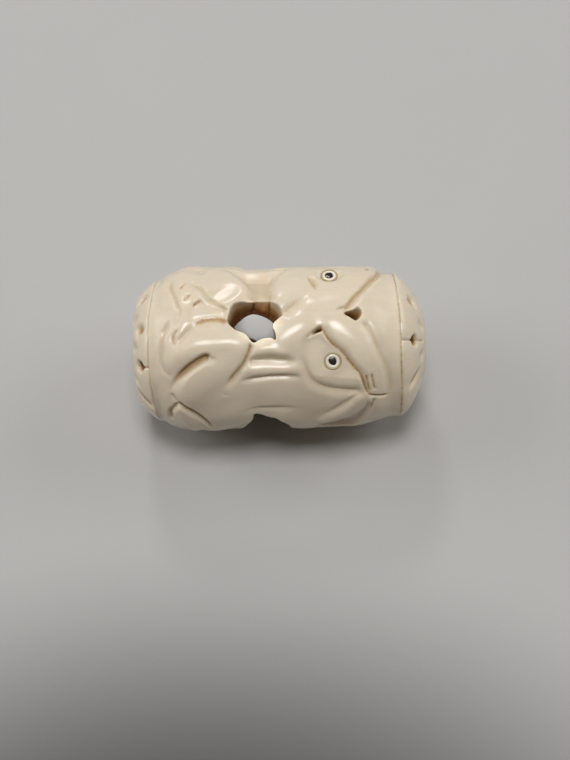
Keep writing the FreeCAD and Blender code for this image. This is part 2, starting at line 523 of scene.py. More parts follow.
def leading_half() -> list[Feature]:
    """Upper half of a frog, which lies below a window: hind leg, flank, arm and head.

    Returns:
        Its features, below the window that faces the viewer.
    """
    hind_leg = [
        Swell(((-13.4, -9), (-12.3, -5), (-10.2, -1.5), (-8.2, 0.5), (-6.4, 1.0), (-4.8, -1)),
              height=0.42, reach=2.0),
        Swell(((-5.2, -3), (-6.2, -8), (-8.2, -17), (-10.2, -27), (-11.0, -34)), height=0.32, reach=2.8),
        Groove(((-8.35, -6.4), (-8.87, -5.9), (-9.55, -7.4), (-10.9, -12), (-12.0, -17.5),
                (-12.75, -23.5), (-13.15, -28.5), (-13.3, -33)),
               depth=1.0, banks=(1.15, 0.34), bows=(1.0, 1.2), fades=(0.03, 0.5), dirt_and_shade=0.42, line=0.1),
        Groove(((-3.2, 1), (-3.64, -6), (-4.24, -12.3), (-5.04, -17.7), (-5.84, -23.2), (-6.57, -29.9)),
               depth=0.6, banks=(0.9, 0.5), bows=(1.4, 1.8), fades=(0.03, 0.3), line=0.3),
        Groove(((-7.3, -32.8), (-6.3, -33.2)), depth=0.12, banks=(0.14, 0.16), dirt_and_shade=0.05, line=0.04),
        Groove(((-7.0, -34.4), (-6.0, -34.6)), depth=0.14, banks=(0.16, 0.16), dirt_and_shade=0.05, line=0.04),
        Groove(((-13.0, 21), (-13.4, 17), (-14.0, 10), (-14.3, 0), (-14.4, -9), (-14.1, -16),
                (-13.5, -19.3), (-12.7, -21.6)),
               depth=0.4, banks=(0.6, 0.55), bows=(2.0, 1.6), fades=(0.2, 0.3), dirt_and_shade=0.12, line=0.06),
        Groove(((-11.9, 12.5), (-12.7, 9), (-12.75, 4), (-12.4, 0), (-11.9, -3)),
               depth=0.36, banks=(0.45, 0.35), fades=(0.2, 0.5), dirt_and_shade=0.24, line=0.1),
        Groove(((-12.3, -1.0), (-11.85, 5.0), (-11.0, 10.6), (-9.9, 16.6)),
               depth=0.22, banks=(0.5, 1.0), bows=(1.6, 1.9), fades=(0.35, 0.4), dirt_and_shade=0.16, line=0.02),
        Swell(((-12.5, 8.6), (-12.1, 11.0)), height=0.22, reach=0.7),
        Swell(((-11.5, 16.0), (-11.1, 18.0)), height=0.16, reach=0.7),
        Swell(((-14.0, 7), (-13.8, 0), (-13.75, -8)), height=0.34, reach=0.8),
    ]
    flank = [
        Swell(((-2.0, -3.2), (-0.76, -2.4), (0.6, -5.2)), height=0.5, reach=1.15),
        Swell(((-4.0, -16.8), (-1.0, -17.2), (2.6, -16.4)), height=0.24, reach=0.9),
        Groove(((-3.7, -10.0), (-2.0, -9.2), (0.0, -9.2), (1.6, -10.6), (2.7, -12.6)),
               depth=0.5, banks=(0.8, 1.3), bows=(1.3, 1.6), fades=(0.1, 0.3), dirt_and_shade=0.1, line=0.1),
        Groove(((-4.8, -25.0), (-3.2, -22.6), (-1.0, -21.2), (0.4, -21.1), (1.7, -21.4), (3.4, -22.6)),
               depth=0.5, banks=(0.38, 0.7), bows=(1.1, 1.5), fades=(0.3, 0.3), dirt_and_shade=0.1, line=0.16),
        Groove(((-4.6, -49.0), (-2.6, -47.4), (0.0, -46.8), (1.5, -47.2), (2.9, -48.6)),
               depth=0.26, banks=(0.3, 0.9), bows=(1.2, 1.3), fades=(0.4, 0.4), dirt_and_shade=0.05, line=0.06),
    ]
    arm = [
        Swell(((0.8, 2), (1.9, 8), (2.9, 12.5)), height=0.36, reach=2.4, bow=1.3),
        Swell(((3.6, 17), (5.4, 20.5), (7.2, 19.5)), height=0.12, reach=2.6),
        Swell(((7.3, 15), (8.2, 8.6), (9.4, 0), (10.7, -8), (11.8, -18), (12.5, -27), (12.7, -36),
               (12.7, -48), (12.4, -60)), height=0.22, reach=2.4, bow=1.2),
        Groove(((5.75, 10.2), (6.5, 3.5), (7.2, -1.0), (8.3, -6.4), (9.07, -12.4), (9.85, -17.9),
                (10.37, -21), (10.73, -26.3), (11.1, -33.4), (11.55, -38.2), (11.9, -41)),
               depth=0.6, banks=(1.0, 0.2), bows=(2.0, 1.1), fades=(0.03, 0.15), line=0.34),
        # Armpit pit, darkened with dirt and painted shade.
        Hollow(((3.8, 4.2), (4.3, 7.6), (4.95, 10.8), (5.5, 12.2), (5.85, 11.2), (5.8, 9.0), (5.1, 7.6),
                (4.4, 6.0)), depth=1.9, bank=0.36, dirt_and_shade=0.85),
        Groove(((10.7, 15.1), (11.44, 10.1), (11.9, 5.1), (12.4, -1), (12.9, -8), (13.5, -15),
                (13.95, -23), (14.15, -34), (13.95, -51)),
               depth=0.3, banks=(1.3, 1.0), bows=(1.8, 1.8), fades=(0.06, 0.3), dirt_and_shade=0.17, line=0.04),
        Groove(((11.12, -22.0), (11.35, -28), (11.6, -35.2)),
               depth=0.5, banks=(0.24, 0.16), bows=(1.1, 1.0), fades=(0.1, 0.1), dirt_and_shade=0.24, line=0.26),
        Groove(((11.8, -21.6), (12.05, -28), (12.3, -34.4)),
               depth=0.46, banks=(0.16, 0.24), bows=(1.0, 1.1), fades=(0.1, 0.1), line=0.2),
        Groove(((11.45, -38.0), (11.9, -38.9), (12.67, -40.0), (13.3, -41.0), (13.95, -41.8)),
               depth=0.6, banks=(0.14, 0.24), bows=(1.0, 1.1), fades=(0.05, 0.12), dirt_and_shade=0.22, line=0.3),
        Groove(((12.3, -41.6), (12.05, -48), (11.75, -54.5)),
               depth=0.42, banks=(0.16, 0.2), bows=(1.0, 1.1), fades=(0.1, 0.3), dirt_and_shade=0.24, line=0.24),
        Swell(((12.1, 2), (12.3, 9), (12.2, 15)), height=0.12, reach=1.5),
    ]
    head = [
        Facet(((3.7, 3), (5.2, 7), (6.2, 3.6), (7.4, -1.8), (9.2, -12.4), (10.5, -22), (11.0, -30),
               (9.4, -30), (7.4, -29.2), (5.4, -26.6), (4.3, -20), (3.6, -11)),
              middle_angle=-12.0, level=10.25, lean=7.0, bank=1.2, slope=-0.04),
        Groove(((3.0, -3), (3.3, -10), (3.75, -17), (4.1, -22), (4.6, -26), (5.5, -29.4), (6.6, -31.8),
                (8.0, -33.2), (9.4, -34.0), (10.9, -34.8)),
               depth=0.5, banks=(1.0, 1.4), bows=(1.7, 1.9), fades=(0.3, 0.1), dirt_and_shade=0.1, line=0.08),
    ]
    wrists = [
        Opening(((8.58, 20.6), (8.8, 22.5), (9.5, 23.5), (10.33, 25.4), (10.87, 22.9), (10.75, 19.0),
                 (10.05, 15.6), (9.3, 18.0)),
                throat=((8.5, 22.4), (8.9, 24.6), (9.5, 23.0), (9.1, 20.4)),
                floor=8.3, soft=0.22, clean=0.4),
    ]
    return hind_leg + flank + arm + head + wrists


def following_half() -> list[Feature]:
    """Lower half of a frog, which lies above a window: foot plate, knee and waist, arm and head.

    Returns:
        Its features, above the window that faces the viewer.
    """
    foot = [
        Groove(((-13.45, 60), (-13.16, 47), (-12.6, 37), (-12.24, 30.3), (-11.85, 26.2), (-12.06, 21.4),
                (-12.9, 13)),
               depth=0.36, banks=(0.45, 0.7), bows=(1.5, 1.8), fades=(0.2, 0.4), dirt_and_shade=0.12, line=0.14),
        Groove(((-10.9, 54), (-9.4, 43.8), (-8.5, 36.2), (-7.5, 31.2), (-6.56, 27.3), (-5.8, 24)),
               depth=0.4, banks=(0.24, 0.9), bows=(1.2, 1.3), fades=(0.2, 0.1), dirt_and_shade=0.16, line=0.04),
        Swell(((-10.9, 50), (-9.7, 40), (-8.3, 31.8)), height=0.12, reach=0.5),
        Swell(((-12.0, 46), (-11.4, 36), (-10.4, 29), (-9.4, 26)), height=0.1, reach=1.7),
        # Three toe slots, shallow, darkened with dirt and painted shade.
        Groove(((-12.2, 43.0), (-11.75, 47.6), (-11.2, 51.9)),
               depth=0.17, banks=(0.3, 0.42), bows=(1.8, 1.9), fades=(0.3, 0.3), dirt_and_shade=0.42, line=0.0),
        Groove(((-11.5, 33.0), (-11.05, 36.8), (-10.5, 40.2)),
               depth=0.2, banks=(0.3, 0.42), bows=(1.8, 1.9), fades=(0.3, 0.3), dirt_and_shade=0.44, line=0.0),
        Groove(((-10.5, 28.2), (-10.0, 31.2), (-9.25, 33.8)),
               depth=0.22, banks=(0.32, 0.46), bows=(1.8, 1.9), fades=(0.3, 0.3), dirt_and_shade=0.5, line=0.0),
        # Crease under the foot, its line tinted with dirt and painted shade.
        Groove(((-10.3, 13.0), (-9.8, 16.2), (-8.9, 18.4), (-7.8, 19.4), (-6.7, 18.6), (-6.0, 16.0)),
               depth=0.18, banks=(0.42, 1.2), bows=(1.4, 1.9), fades=(0.3, 0.05), dirt_and_shade=0.44, line=0.1),
        Facet(((-10.6, 19.5), (-9.4, 20.6), (-7.8, 21.0), (-6.2, 20.2), (-6.6, 25.0), (-8.2, 31.0),
               (-9.6, 33.0), (-10.6, 27.0)), middle_angle=24.0, level=10.52, lean=2.0, bank=0.7),
        Swell(((-11.4, 16.4), (-11.0, 19.4), (-10.4, 22.5)), height=0.06, reach=0.9),
    ]
    knee = [
        Swell(((-8.0, 37), (-6.6, 41), (-5.4, 46)), height=0.46, reach=3.0, bow=1.1),
        Swell(((-9.6, 88), (-7.4, 84), (-5.6, 80)), height=0.2, reach=2.0),
        Facet(((-8.6, 30), (-8.1, 39), (-6.4, 46), (-4.8, 47), (-4.4, 39), (-5.4, 33), (-7.2, 29)),
              middle_angle=37.5, level=10.8, lean=-2.0, bank=1.3, slope=0.06),
        Swell(((-6.4, 50), (-6.6, 60), (-7.2, 72)), height=0.24, reach=3.0),
        # Waist recess, its floor tinted with dirt and painted shade.
        Hollow(((-6.2, 72), (-5.1, 57), (-4.2, 48), (-3.6, 41), (-3.3, 33), (-0.1, 31), (-0.05, 39),
                (0.15, 47), (0.5, 57), (1.2, 72)), depth=1.15, bank=1.35, dirt_and_shade=0.2, run_out=(58.5, 70.0)),
        Hollow(((-5.2, 66), (-4.4, 56), (-3.4, 46), (-2.2, 36), (-1.2, 36), (-0.2, 48), (0.1, 60),
                (0.5, 76), (0.3, 96), (-1.0, 108), (-3.4, 108), (-4.8, 92)), depth=0.22, bank=1.6),
        # Corners of the recess at the window's edge, tinted with dirt and painted shade.
        Groove(((-2.7, 31.5), (-2.85, 36), (-3.1, 43)),
               depth=0.1, banks=(0.4, 0.7), bows=(1.6, 1.8), fades=(0.05, 0.8), dirt_and_shade=0.34, line=0.0),
        Groove(((-0.75, 31), (-0.65, 37), (-0.5, 45)),
               depth=0.1, banks=(0.7, 0.5), bows=(1.8, 1.6), fades=(0.05, 0.8), dirt_and_shade=0.34, line=0.0),
        Hollow(((-10.4, 66), (-9.4, 60), (-8.6, 66), (-9.2, 74), (-10.2, 74)),
               depth=0.14, bank=0.8, dirt_and_shade=0.1),
    ]
    arm = [
        Swell(((0.8, 35), (1.7, 42), (2.6, 49)), height=0.42, reach=2.4),
        Swell(((1.3, 32.2), (2.05, 35.6), (2.75, 38.8)), height=0.14, reach=0.6),
        Swell(((2.6, 48), (2.9, 58), (3.0, 68)), height=0.2, reach=2.4),
        Swell(((4.8, 28), (6.6, 30), (8.6, 32)), height=0.2, reach=2.8),
        Groove(((0.9, 21.5), (2.0, 26.8), (2.9, 30.6), (3.8, 34.6), (4.7, 38)),
               depth=0.34, banks=(0.7, 1.6), bows=(1.7, 1.9), fades=(0.05, 0.7), dirt_and_shade=0.16, line=0.0),
        Groove(((3.7, 24.4), (4.6, 23.7), (5.5, 23.8)),
               depth=0.06, banks=(0.12, 0.14), dirt_and_shade=0.1, line=0.1),
        Groove(((7.4, 22.8), (8.0, 24.0), (8.54, 25.2), (8.9, 25.6)),
               depth=0.32, banks=(0.26, 0.3), bows=(1.4, 1.4), fades=(0.4, 0.02)),
        Groove(((8.65, 23.9), (9.13, 28), (9.97, 34.6), (10.95, 42), (11.98, 52.3), (13.06, 64.3),
                (13.5, 80), (13.5, 96)),
               depth=0.66, banks=(0.22, 1.15), bows=(1.2, 1.3), fades=(0.03, 0.3), dirt_and_shade=0.22, line=0.16),
        Groove(((4.3, 57), (4.4, 52), (4.65, 47.5), (5.1, 42.0), (5.6, 39.6)),
               depth=0.6, banks=(1.3, 0.14), bows=(1.0, 1.2), fades=(0.25, 0.5), dirt_and_shade=0.24, line=0.0),
    ]
    head = [
        Swell(((10.2, 30), (11.2, 40), (12.0, 49)), height=0.1, reach=1.2),
    ]
    return foot + knee + arm + head


def turned_away_half() -> list[Feature]:
    """Lower half of the front frog, which turns its head: leg and cheek, no eye.

    Returns:
        Its features.
    """
    leg = [
        Groove(((-13.3, -33), (-12.95, -37), (-12.5, -40.4)),
               depth=0.34, banks=(0.5, 0.6), dirt_and_shade=0.1, line=0.1),
        Groove(((-12.5, -40.2), (-11.6, -45), (-10.9, -49.2), (-10.2, -53.8), (-9.4, -60), (-8.8, -66),
                (-8.4, -72)), depth=0.8, banks=(0.4, 0.65), bows=(1.3, 1.4), fades=(0.03, 0.3), line=0.2),
        Groove(((-12.6, -41), (-13.0, -45), (-13.6, -51), (-13.75, -58), (-13.8, -65)),
               depth=0.6, banks=(0.4, 0.5), bows=(1.4, 1.5), fades=(0.06, 0.2), line=0.14),
        Swell(((-12.3, -46), (-11.9, -53), (-11.4, -62), (-10.8, -74)), height=0.4, reach=1.5),
        Swell(((-5.2, -56), (-7.4, -62), (-8.4, -74)), height=0.3, reach=3.0),
    ]
    cheek = [
        Swell(((10.2, -40), (9.3, -48), (8.0, -56), (6.0, -64)), height=0.4, reach=1.3),
        Groove(((11.0, -34.2), (9.95, -36.9), (8.9, -42.2), (7.6, -48.2), (6.3, -54.4), (5.2, -60)),
               depth=0.34, banks=(1.0, 0.6), bows=(2.0, 1.6), fades=(0.1, 0.5), dirt_and_shade=0.08, line=0.12),
        # Recess under the cheek, darkened with dirt and painted shade.
        Hollow(((11.4, -43), (11.0, -49), (10.45, -54.0), (9.3, -59.4), (7.6, -66.6), (5.4, -73),
                (5.2, -80), (7.6, -84), (9.8, -80), (11.3, -68), (11.9, -57), (12.0, -48)),
               depth=0.85, bank=0.9, dirt_and_shade=0.16),
        Swell(((0.8, -62), (2.2, -66), (3.4, -76)), height=0.3, reach=2.6),
    ]
    return leg + cheek


def windows() -> list[Feature]:
    """The three side windows, each with its own outline.

    Returns:
        The window that faces the viewer, the one behind and the one below.
    """
    facing = Opening(((-6.0, 16.9), (-5.1, 11.5), (-4.15, 9.5), (-3.6, 7.4), (-3.25, 4.5), (-2.75, 2.2),
                      (-2.15, 3.9), (-1.5, 5.2), (-0.6, 5.2), (-0.1, 3.4), (0.0, 5.6), (-0.15, 9),
                      (-0.42, 12.8), (-0.25, 15.4), (0.35, 18.6), (0.92, 21.6), (0.35, 27.5),
                      (-0.5, 31.2), (-1.0, 35.6), (-1.5, 37.2), (-2.1, 34.8), (-2.6, 31.6), (-3.3, 31.1),
                      (-4.2, 31.5), (-5.05, 30.3), (-5.55, 27.2), (-5.85, 22)),
                     throat=((-5.5, 20), (-5.4, 12), (-4.2, 4), (-2.6, -3), (-0.4, -2), (-0.2, 12),
                             (-0.3, 25), (-1.0, 32), (-1.9, 37), (-2.9, 40), (-3.7, 37), (-4.4, 32)),
                     soft=0.2, clean=0.08)
    start_of_both = ((-5.9, 140), (-5.2, 128), (-3.0, 123), (-0.5, 125), (0.7, 138), (0.6, 158))
    behind = Opening((*start_of_both, (-0.4, 171), (-1.8, 176), (-3.0, 173), (-4.6, 170), (-5.8, 164),
                      (-6.2, 152)),
                     throat=(*start_of_both, (-0.2, 170), (-1.6, 175), (-3.0, 169), (-4.6, 163),
                             (-5.8, 158), (-6.2, 150)))
    below = Opening(((-3.0, -54.0), (-2.2, -55.4), (-1.6, -57.5), (-1.0, -58.6), (-0.3, -59), (0.3, -63),
                     (1.3, -72), (1.6, -92), (1.2, -108), (0.3, -122), (-1.5, -127), (-3.4, -124),
                     (-4.6, -110), (-4.9, -92), (-4.0, -72), (-3.2, -60)), soft=0.25)
    return [facing, behind, below]


def blurred(grid: Array, passes: int) -> Array:
    """Smooths a grid, which wraps round the barrel and ends with it.

    Args:
        grid: Grid over rows along the barrel and columns round it.
        passes: How many times to smooth it.

    Returns:
        The smoothed grid.
    """
    for _ in range(passes):
        grid = 0.5 * grid + 0.25 * (np.roll(grid, 1, axis=1) + np.roll(grid, -1, axis=1))
        ends = np.vstack((grid[:1], grid, grid[-1:]))
        grid = 0.5 * grid + 0.25 * (ends[:-2] + ends[2:])
    return grid


def at_corner(grid: Array, corner: tuple[int, int, int]) -> Array:
    """Values of a grid at one corner of each of its cells."""
    rows, columns, layers = (size - 1 for size in grid.shape)
    return grid[corner[0]:, corner[1]:, corner[2]:][:rows, :columns, :layers]


def crossing_points(looped: Array, crossed: Array) -> Array:
    """Points of the surface in the cells that it passes through.

    Args:
        looped: Grid of values, with its first column again at its end.
        crossed: Which cells it passes through.

    Returns:
        The middle of each cell's crossed edges, in grid steps.
    """
    values = {corner: at_corner(looped, corner)[crossed] for corner in CELL_CORNERS}
    cells = np.argwhere(crossed)
    total = np.zeros((len(cells), 3))
    count = np.zeros(len(cells))
    for first in CELL_CORNERS:
        for axis in range(3):
            if first[axis]:
                continue
            second = tuple(1 if n == axis else c for n, c in enumerate(first))
            start, end = values[first], values[second]
            cut = (start > 0.0) != (end > 0.0)
            share = start[cut] / (start[cut] - end[cut])
            total[cut] += first
            total[cut, axis] += share
            count[cut] += 1
    return cells + total / count[:, None]


def crossing_faces(solid: Array, number: Array) -> Array:
    """Faces of the surface, one round each grid edge that goes in or out.

    Args:
        solid: Whether each grid point is inside.
        number: Number of the surface point in each cell.

    Returns:
        The four point numbers of each face.
    """
    faces = []
    for axis in range(3):
        one, two = [n for n in range(3) if n != axis]
        shifted = np.roll(solid, -1, axis=axis)
        for going_out in (True, False):
            change = (solid & ~shifted) if going_out else (~solid & shifted)
            here = np.argwhere(change)
            here = here[(here[:, axis] < number.shape[axis]) | (axis == 1)]
            ring = []
            for back_one, back_two in ((1, 1), (0, 1), (0, 0), (1, 0)):
                cell = here.copy()
                cell[:, one] -= back_one
                cell[:, two] -= back_two
                cell[:, 1] %= number.shape[1]
                ring.append(number[cell[:, 0], cell[:, 1], cell[:, 2]])
            quads = np.stack(ring, axis=1)
            flip = going_out == (axis == 1)
            faces.append(quads[:, ::-1] if flip else quads)
    return np.vstack(faces)


def net_over(values: Array) -> tuple[Array, Array]:
    """Surface between the inside, where values are positive, and the outside.

    Args:
        values: Grid of values, wrapping on its middle axis, with only negative values at the ends of
            the other two.

    Returns:
        Points in grid steps, and faces of four points each.
    """
    looped = np.concatenate((values, values[:, :1]), axis=1)
    filled = sum(at_corner(looped > 0.0, corner).astype(np.int8) for corner in CELL_CORNERS)
    crossed = (filled > 0) & (filled < len(CELL_CORNERS))
    number = np.full(crossed.shape, -1, dtype=np.int32)
    number[crossed] = np.arange(np.count_nonzero(crossed))
    return crossing_points(looped, crossed), crossing_faces(values > 0.0, number)


def ring_quads(rings: int, around: int, closed: bool) -> Array:
    """Faces between rings of points, each ring joined to the next.

    Args:
        rings: Number of rings.
        around: Points in each ring.
        closed: Whether the last ring is joined to the first.

    Returns:
        Point numbers of each face: one point, then the next ring's, then both points beside them.
    """
    ring, spot = np.meshgrid(np.arange(rings if closed else rings - 1), np.arange(around), indexing="ij")
    after = (ring + 1) % rings
    beside = (spot + 1) % around
    corners = (ring * around + spot, after * around + spot, after * around + beside, ring * around + beside)
    return np.stack(corners, axis=-1).reshape(-1, 4)


def mesh_piece(name: str, points_mm: Array, faces: list) -> bpy.types.Object:
    """New object from points in millimetres.

    Args:
        name: Name of the piece.
        points_mm: Its points.
        faces: Point numbers of each face.

    Returns:
        The object, smooth shaded and linked to the scene.
    """
    mesh = bpy.data.meshes.new(name)
    mesh.from_pydata((points_mm * MM).tolist(), [], faces)
    mesh.validate()
    mesh.shade_smooth()
    piece = bpy.data.objects.new(name, mesh)
    bpy.context.scene.collection.objects.link(piece)
    return piece


def points_of(piece: bpy.types.Object) -> Array:
    """Reads the points of a piece.

    Args:
        piece: The piece.

    Returns:
        Its points in millimetres.
    """
    flat = np.empty(len(piece.data.vertices) * 3, dtype=np.float32)
    piece.data.vertices.foreach_get("co", flat)
    return flat.reshape(-1, 3).astype(float) / MM


def add_field(piece: bpy.types.Object, name: str, values: Array) -> None:
    """Stores one number per point of a piece, for its material to read."""
    attribute = piece.data.attributes.new(name, "FLOAT", "POINT")
    attribute.data.foreach_set("value", values.astype(np.float32))


def applied(piece: bpy.types.Object) -> None:
    """Puts the result of a piece's modifiers in its mesh.

    Args:
        piece: The piece, which loses its modifiers.
    """
    graph = bpy.context.evaluated_depsgraph_get()
    result = bpy.data.meshes.new_from_object(piece.evaluated_get(graph))
    piece.modifiers.clear()
    old = piece.data
    piece.data = result
    bpy.data.meshes.remove(old)


class Nodes:
    """Short way to write a material's nodes."""

    def __init__(self, name: str) -> None:
        """Starts a material with a Principled shader.

        Args:
            name: Name of the material.
        """
        self.material = bpy.data.materials.new(name)
        self.material.use_nodes = True
        self.tree = self.material.node_tree
        self.shader = self.tree.nodes["Principled BSDF"]

    def add(self, kind: str, inputs: dict | None = None, **settings: object) -> bpy.types.Node:
        """Adds a node.

        Args:
            kind: Type name of the node.
            inputs: Value or source socket for each named or numbered input.
            **settings: Properties of the node.

        Returns:
            The node.
        """
        node = self.tree.nodes.new(kind)
        for key, value in settings.items():
            setattr(node, key, value)
        self.feed(node, inputs or {})
        return node

    def feed(self, node: bpy.types.Node, inputs: dict) -> None:
        """Sets inputs of a node to values, or links them to sockets.

        Args:
            node: The node.
            inputs: Value or source socket for each named or numbered input.
        """
        for key, value in inputs.items():
            if isinstance(value, Socket):
                self.tree.links.new(value, node.inputs[key])
            else:
                node.inputs[key].default_value = value

    def place(self) -> Socket:
        """Place in object space."""
        return self.add("ShaderNodeTexCoord").outputs["Object"]

    def noise(self, scale: float, detail: float = 3.0, stretch: Triple = (1, 1, 1)) -> Socket:
        """Noise in object space, from 0 to 1.

        Args:
            scale: Waves per metre.
            detail: Levels of finer noise.
            stretch: Share of the scale along x, y and z.

        Returns:
            The noise's value.
        """
        place = self.place()
        mapped = self.add("ShaderNodeMapping", {"Vector": place, "Scale": stretch}).outputs[0]
        inputs = {"Vector": mapped, "Scale": scale, "Detail": detail}
        return self.add("ShaderNodeTexNoise", inputs).outputs["Fac"]

    def maths(self, operation: str, first: object, second: object = 0.0, third: object = 0.0,
              clamp: bool = False) -> Socket:
        """Result of a maths node on up to three values or sockets."""
        return self.add("ShaderNodeMath", {0: first, 1: second, 2: third}, operation=operation,
                        use_clamp=clamp).outputs[0]

    def spread(self, value: object, gain: float, offset: object, clamp: bool = True) -> Socket:
        """Value times a gain, plus an offset."""
        return self.maths("MULTIPLY_ADD", value, gain, offset, clamp)

    def vector(self, operation: str, inputs: dict, result: str = "Vector") -> Socket:
        """Result of a vector maths node on its numbered inputs."""
        return self.add("ShaderNodeVectorMath", inputs, operation=operation).outputs[result]

    def ramp(self, value: object, stops: list[tuple[float, Triple]]) -> Socket:
        """Colour that runs through stops.

        Args:
            value: Socket that picks the colour, from 0 to 1.
            stops: Position and colour of each stop.

        Returns:
            The colour.
        """
        node = self.add("ShaderNodeValToRGB", {"Fac": value})
        elements = node.color_ramp.elements
        while len(elements) < len(stops):
            elements.new(0.5)
        for element, (position, colour) in zip(elements, stops):
            element.position = position
            element.color = (*colour, 1.0)
        return node.outputs["Color"]

    def mix(self, share: object, first: Socket | Triple, second: Socket | Triple) -> Socket:
        """Mix of two colours.

        Args:
            share: Share of the second, from 0 to 1.
            first: One colour.
            second: The other colour.

        Returns:
            The mixed colour.
        """
        first, second = (colour if isinstance(colour, Socket) else (*colour, 1.0)
                         for colour in (first, second))
        return self.add("ShaderNodeMix", {0: share, 6: first, 7: second}, data_type="RGBA").outputs[2]

    def bump(self, height: object, strength: float, distance_mm: float) -> None:
        """Gives the shader a bump.

        Args:
            height: Socket with the height.
            strength: How much of the bump shows, from 0 to 1.
            distance_mm: Height of the bump.
        """
        inputs = {"Height": height, "Strength": strength, "Distance": distance_mm * MM}
        self.feed(self.shader, {"Normal": self.add("ShaderNodeBump", inputs).outputs["Normal"]})


@dataclass(frozen=True)
class BoneFinish:
    """Polished bone: cream, with grain along the barrel, and brown dirt and painted shade held in the cuts.

    Noise rates are in waves per metre.
    """

    name: str
    cream: Triple = (0.73, 0.645, 0.52)
    warm: Triple = (0.715, 0.615, 0.475)
    # Colours of the dirt and painted shade in the cuts; the darkest stands for deep walls and holes.
    tan: Triple = (0.59, 0.475, 0.28)
    brown: Triple = (0.44, 0.25, 0.085)
    dark: Triple = (0.11, 0.034, 0.010)
    cloud_rate: float = 160.0
    cloud_stretch: Triple = (0.45, 1, 1)
    grain_rate: float = 2600.0
    grain_stretch: Triple = (0.12, 1, 1)
    fleck_rate: float = 900.0
    wave_rate: float = 420.0
    ripple_rate: float = 1300.0
    bump_depth: float = 0.05
    roughness: float = 0.22
    ior: float = 1.46
    specular: float = 0.32
    glow: float = 0.35
    glow_spread: Triple = (1.0, 0.55, 0.28)
    glow_depth: float = 0.7
    coat: float = 0.08
    coat_roughness: float = 0.16

    def material(self) -> bpy.types.Material:
        """Makes the material, which reads the piece's field of dirt and painted shade.

        Returns:
            The material.
        """
        nodes = Nodes(self.name)
        stain_and_shade = nodes.add("ShaderNodeAttribute", attribute_name="stain_and_shade").outputs["Fac"]
        cloud = nodes.noise(self.cloud_rate, 4.0, self.cloud_stretch)
        grain = nodes.noise(self.grain_rate, 3.0, self.grain_stretch)
        flecks = nodes.noise(self.fleck_rate, 6.0)
        body = nodes.mix(nodes.spread(cloud, gain=1.6, offset=-0.35), self.cream, self.warm)
        body = nodes.mix(nodes.spread(grain, gain=0.4, offset=-0.14), body, self.tan)
        uneven = nodes.spread(flecks, gain=0.5, offset=0.75, clamp=False)
        held = nodes.maths("MULTIPLY", stain_and_shade, uneven, clamp=True)
        # Dirt and painted shade: tan, then brown, then near black where the field is strongest.
        dirt_and_shade = nodes.ramp(held, [(0.0, self.tan), (0.45, self.brown), (1.0, self.dark)])
        share = nodes.ramp(held, [(0.03, (0, 0, 0)), (0.28, (0.55, 0.55, 0.55)), (0.6, (1, 1, 1))])
        colour = nodes.mix(share, body, dirt_and_shade)
        rough = nodes.spread(flecks, gain=0.1, offset=self.roughness - 0.05, clamp=False)
        nodes.feed(nodes.shader, {
            "Base Color": colour,
            "Roughness": nodes.spread(held, gain=0.4, offset=rough),
            "IOR": self.ior,
            "Specular IOR Level": self.specular,
            "Subsurface Weight": self.glow,
            "Subsurface Radius": self.glow_spread,
            "Subsurface Scale": self.glow_depth * MM,
            "Coat Weight": self.coat,
            "Coat Roughness": self.coat_roughness,
        })
        waves = nodes.noise(self.wave_rate, 2.0)
        height = nodes.spread(grain, gain=0.1, offset=waves, clamp=False)
        height = nodes.spread(nodes.noise(self.ripple_rate, 3.0), gain=0.3, offset=height, clamp=False)
        nodes.bump(height, 0.2, self.bump_depth)
        return nodes.material


@dataclass(frozen=True)
class InlayFinish:
    """Smooth inlay of one colour, slightly uneven. Noise rates are in waves per metre."""

    name: str
    colour: Triple
    deep: Triple
    roughness: float
    coat: float
    coat_roughness: float = 0.08
    cloud_rate: float = 1800.0
    grit_rate: float = 5200.0
    bump_depth: float = 0.04

    def material(self) -> bpy.types.Material:
        """Makes the material.

        Returns:
            The material.
        """
        nodes = Nodes(self.name)
        cloud = nodes.noise(self.cloud_rate, 4.0)
        nodes.feed(nodes.shader, {
            "Base Color": nodes.mix(cloud, self.colour, self.deep),
            "Roughness": nodes.spread(cloud, gain=0.15, offset=self.roughness, clamp=False),
            "Coat Weight": self.coat,
            "Coat Roughness": self.coat_roughness,
        })
        nodes.bump(nodes.noise(self.grit_rate, 3.0), 0.25, self.bump_depth)
        return nodes.material


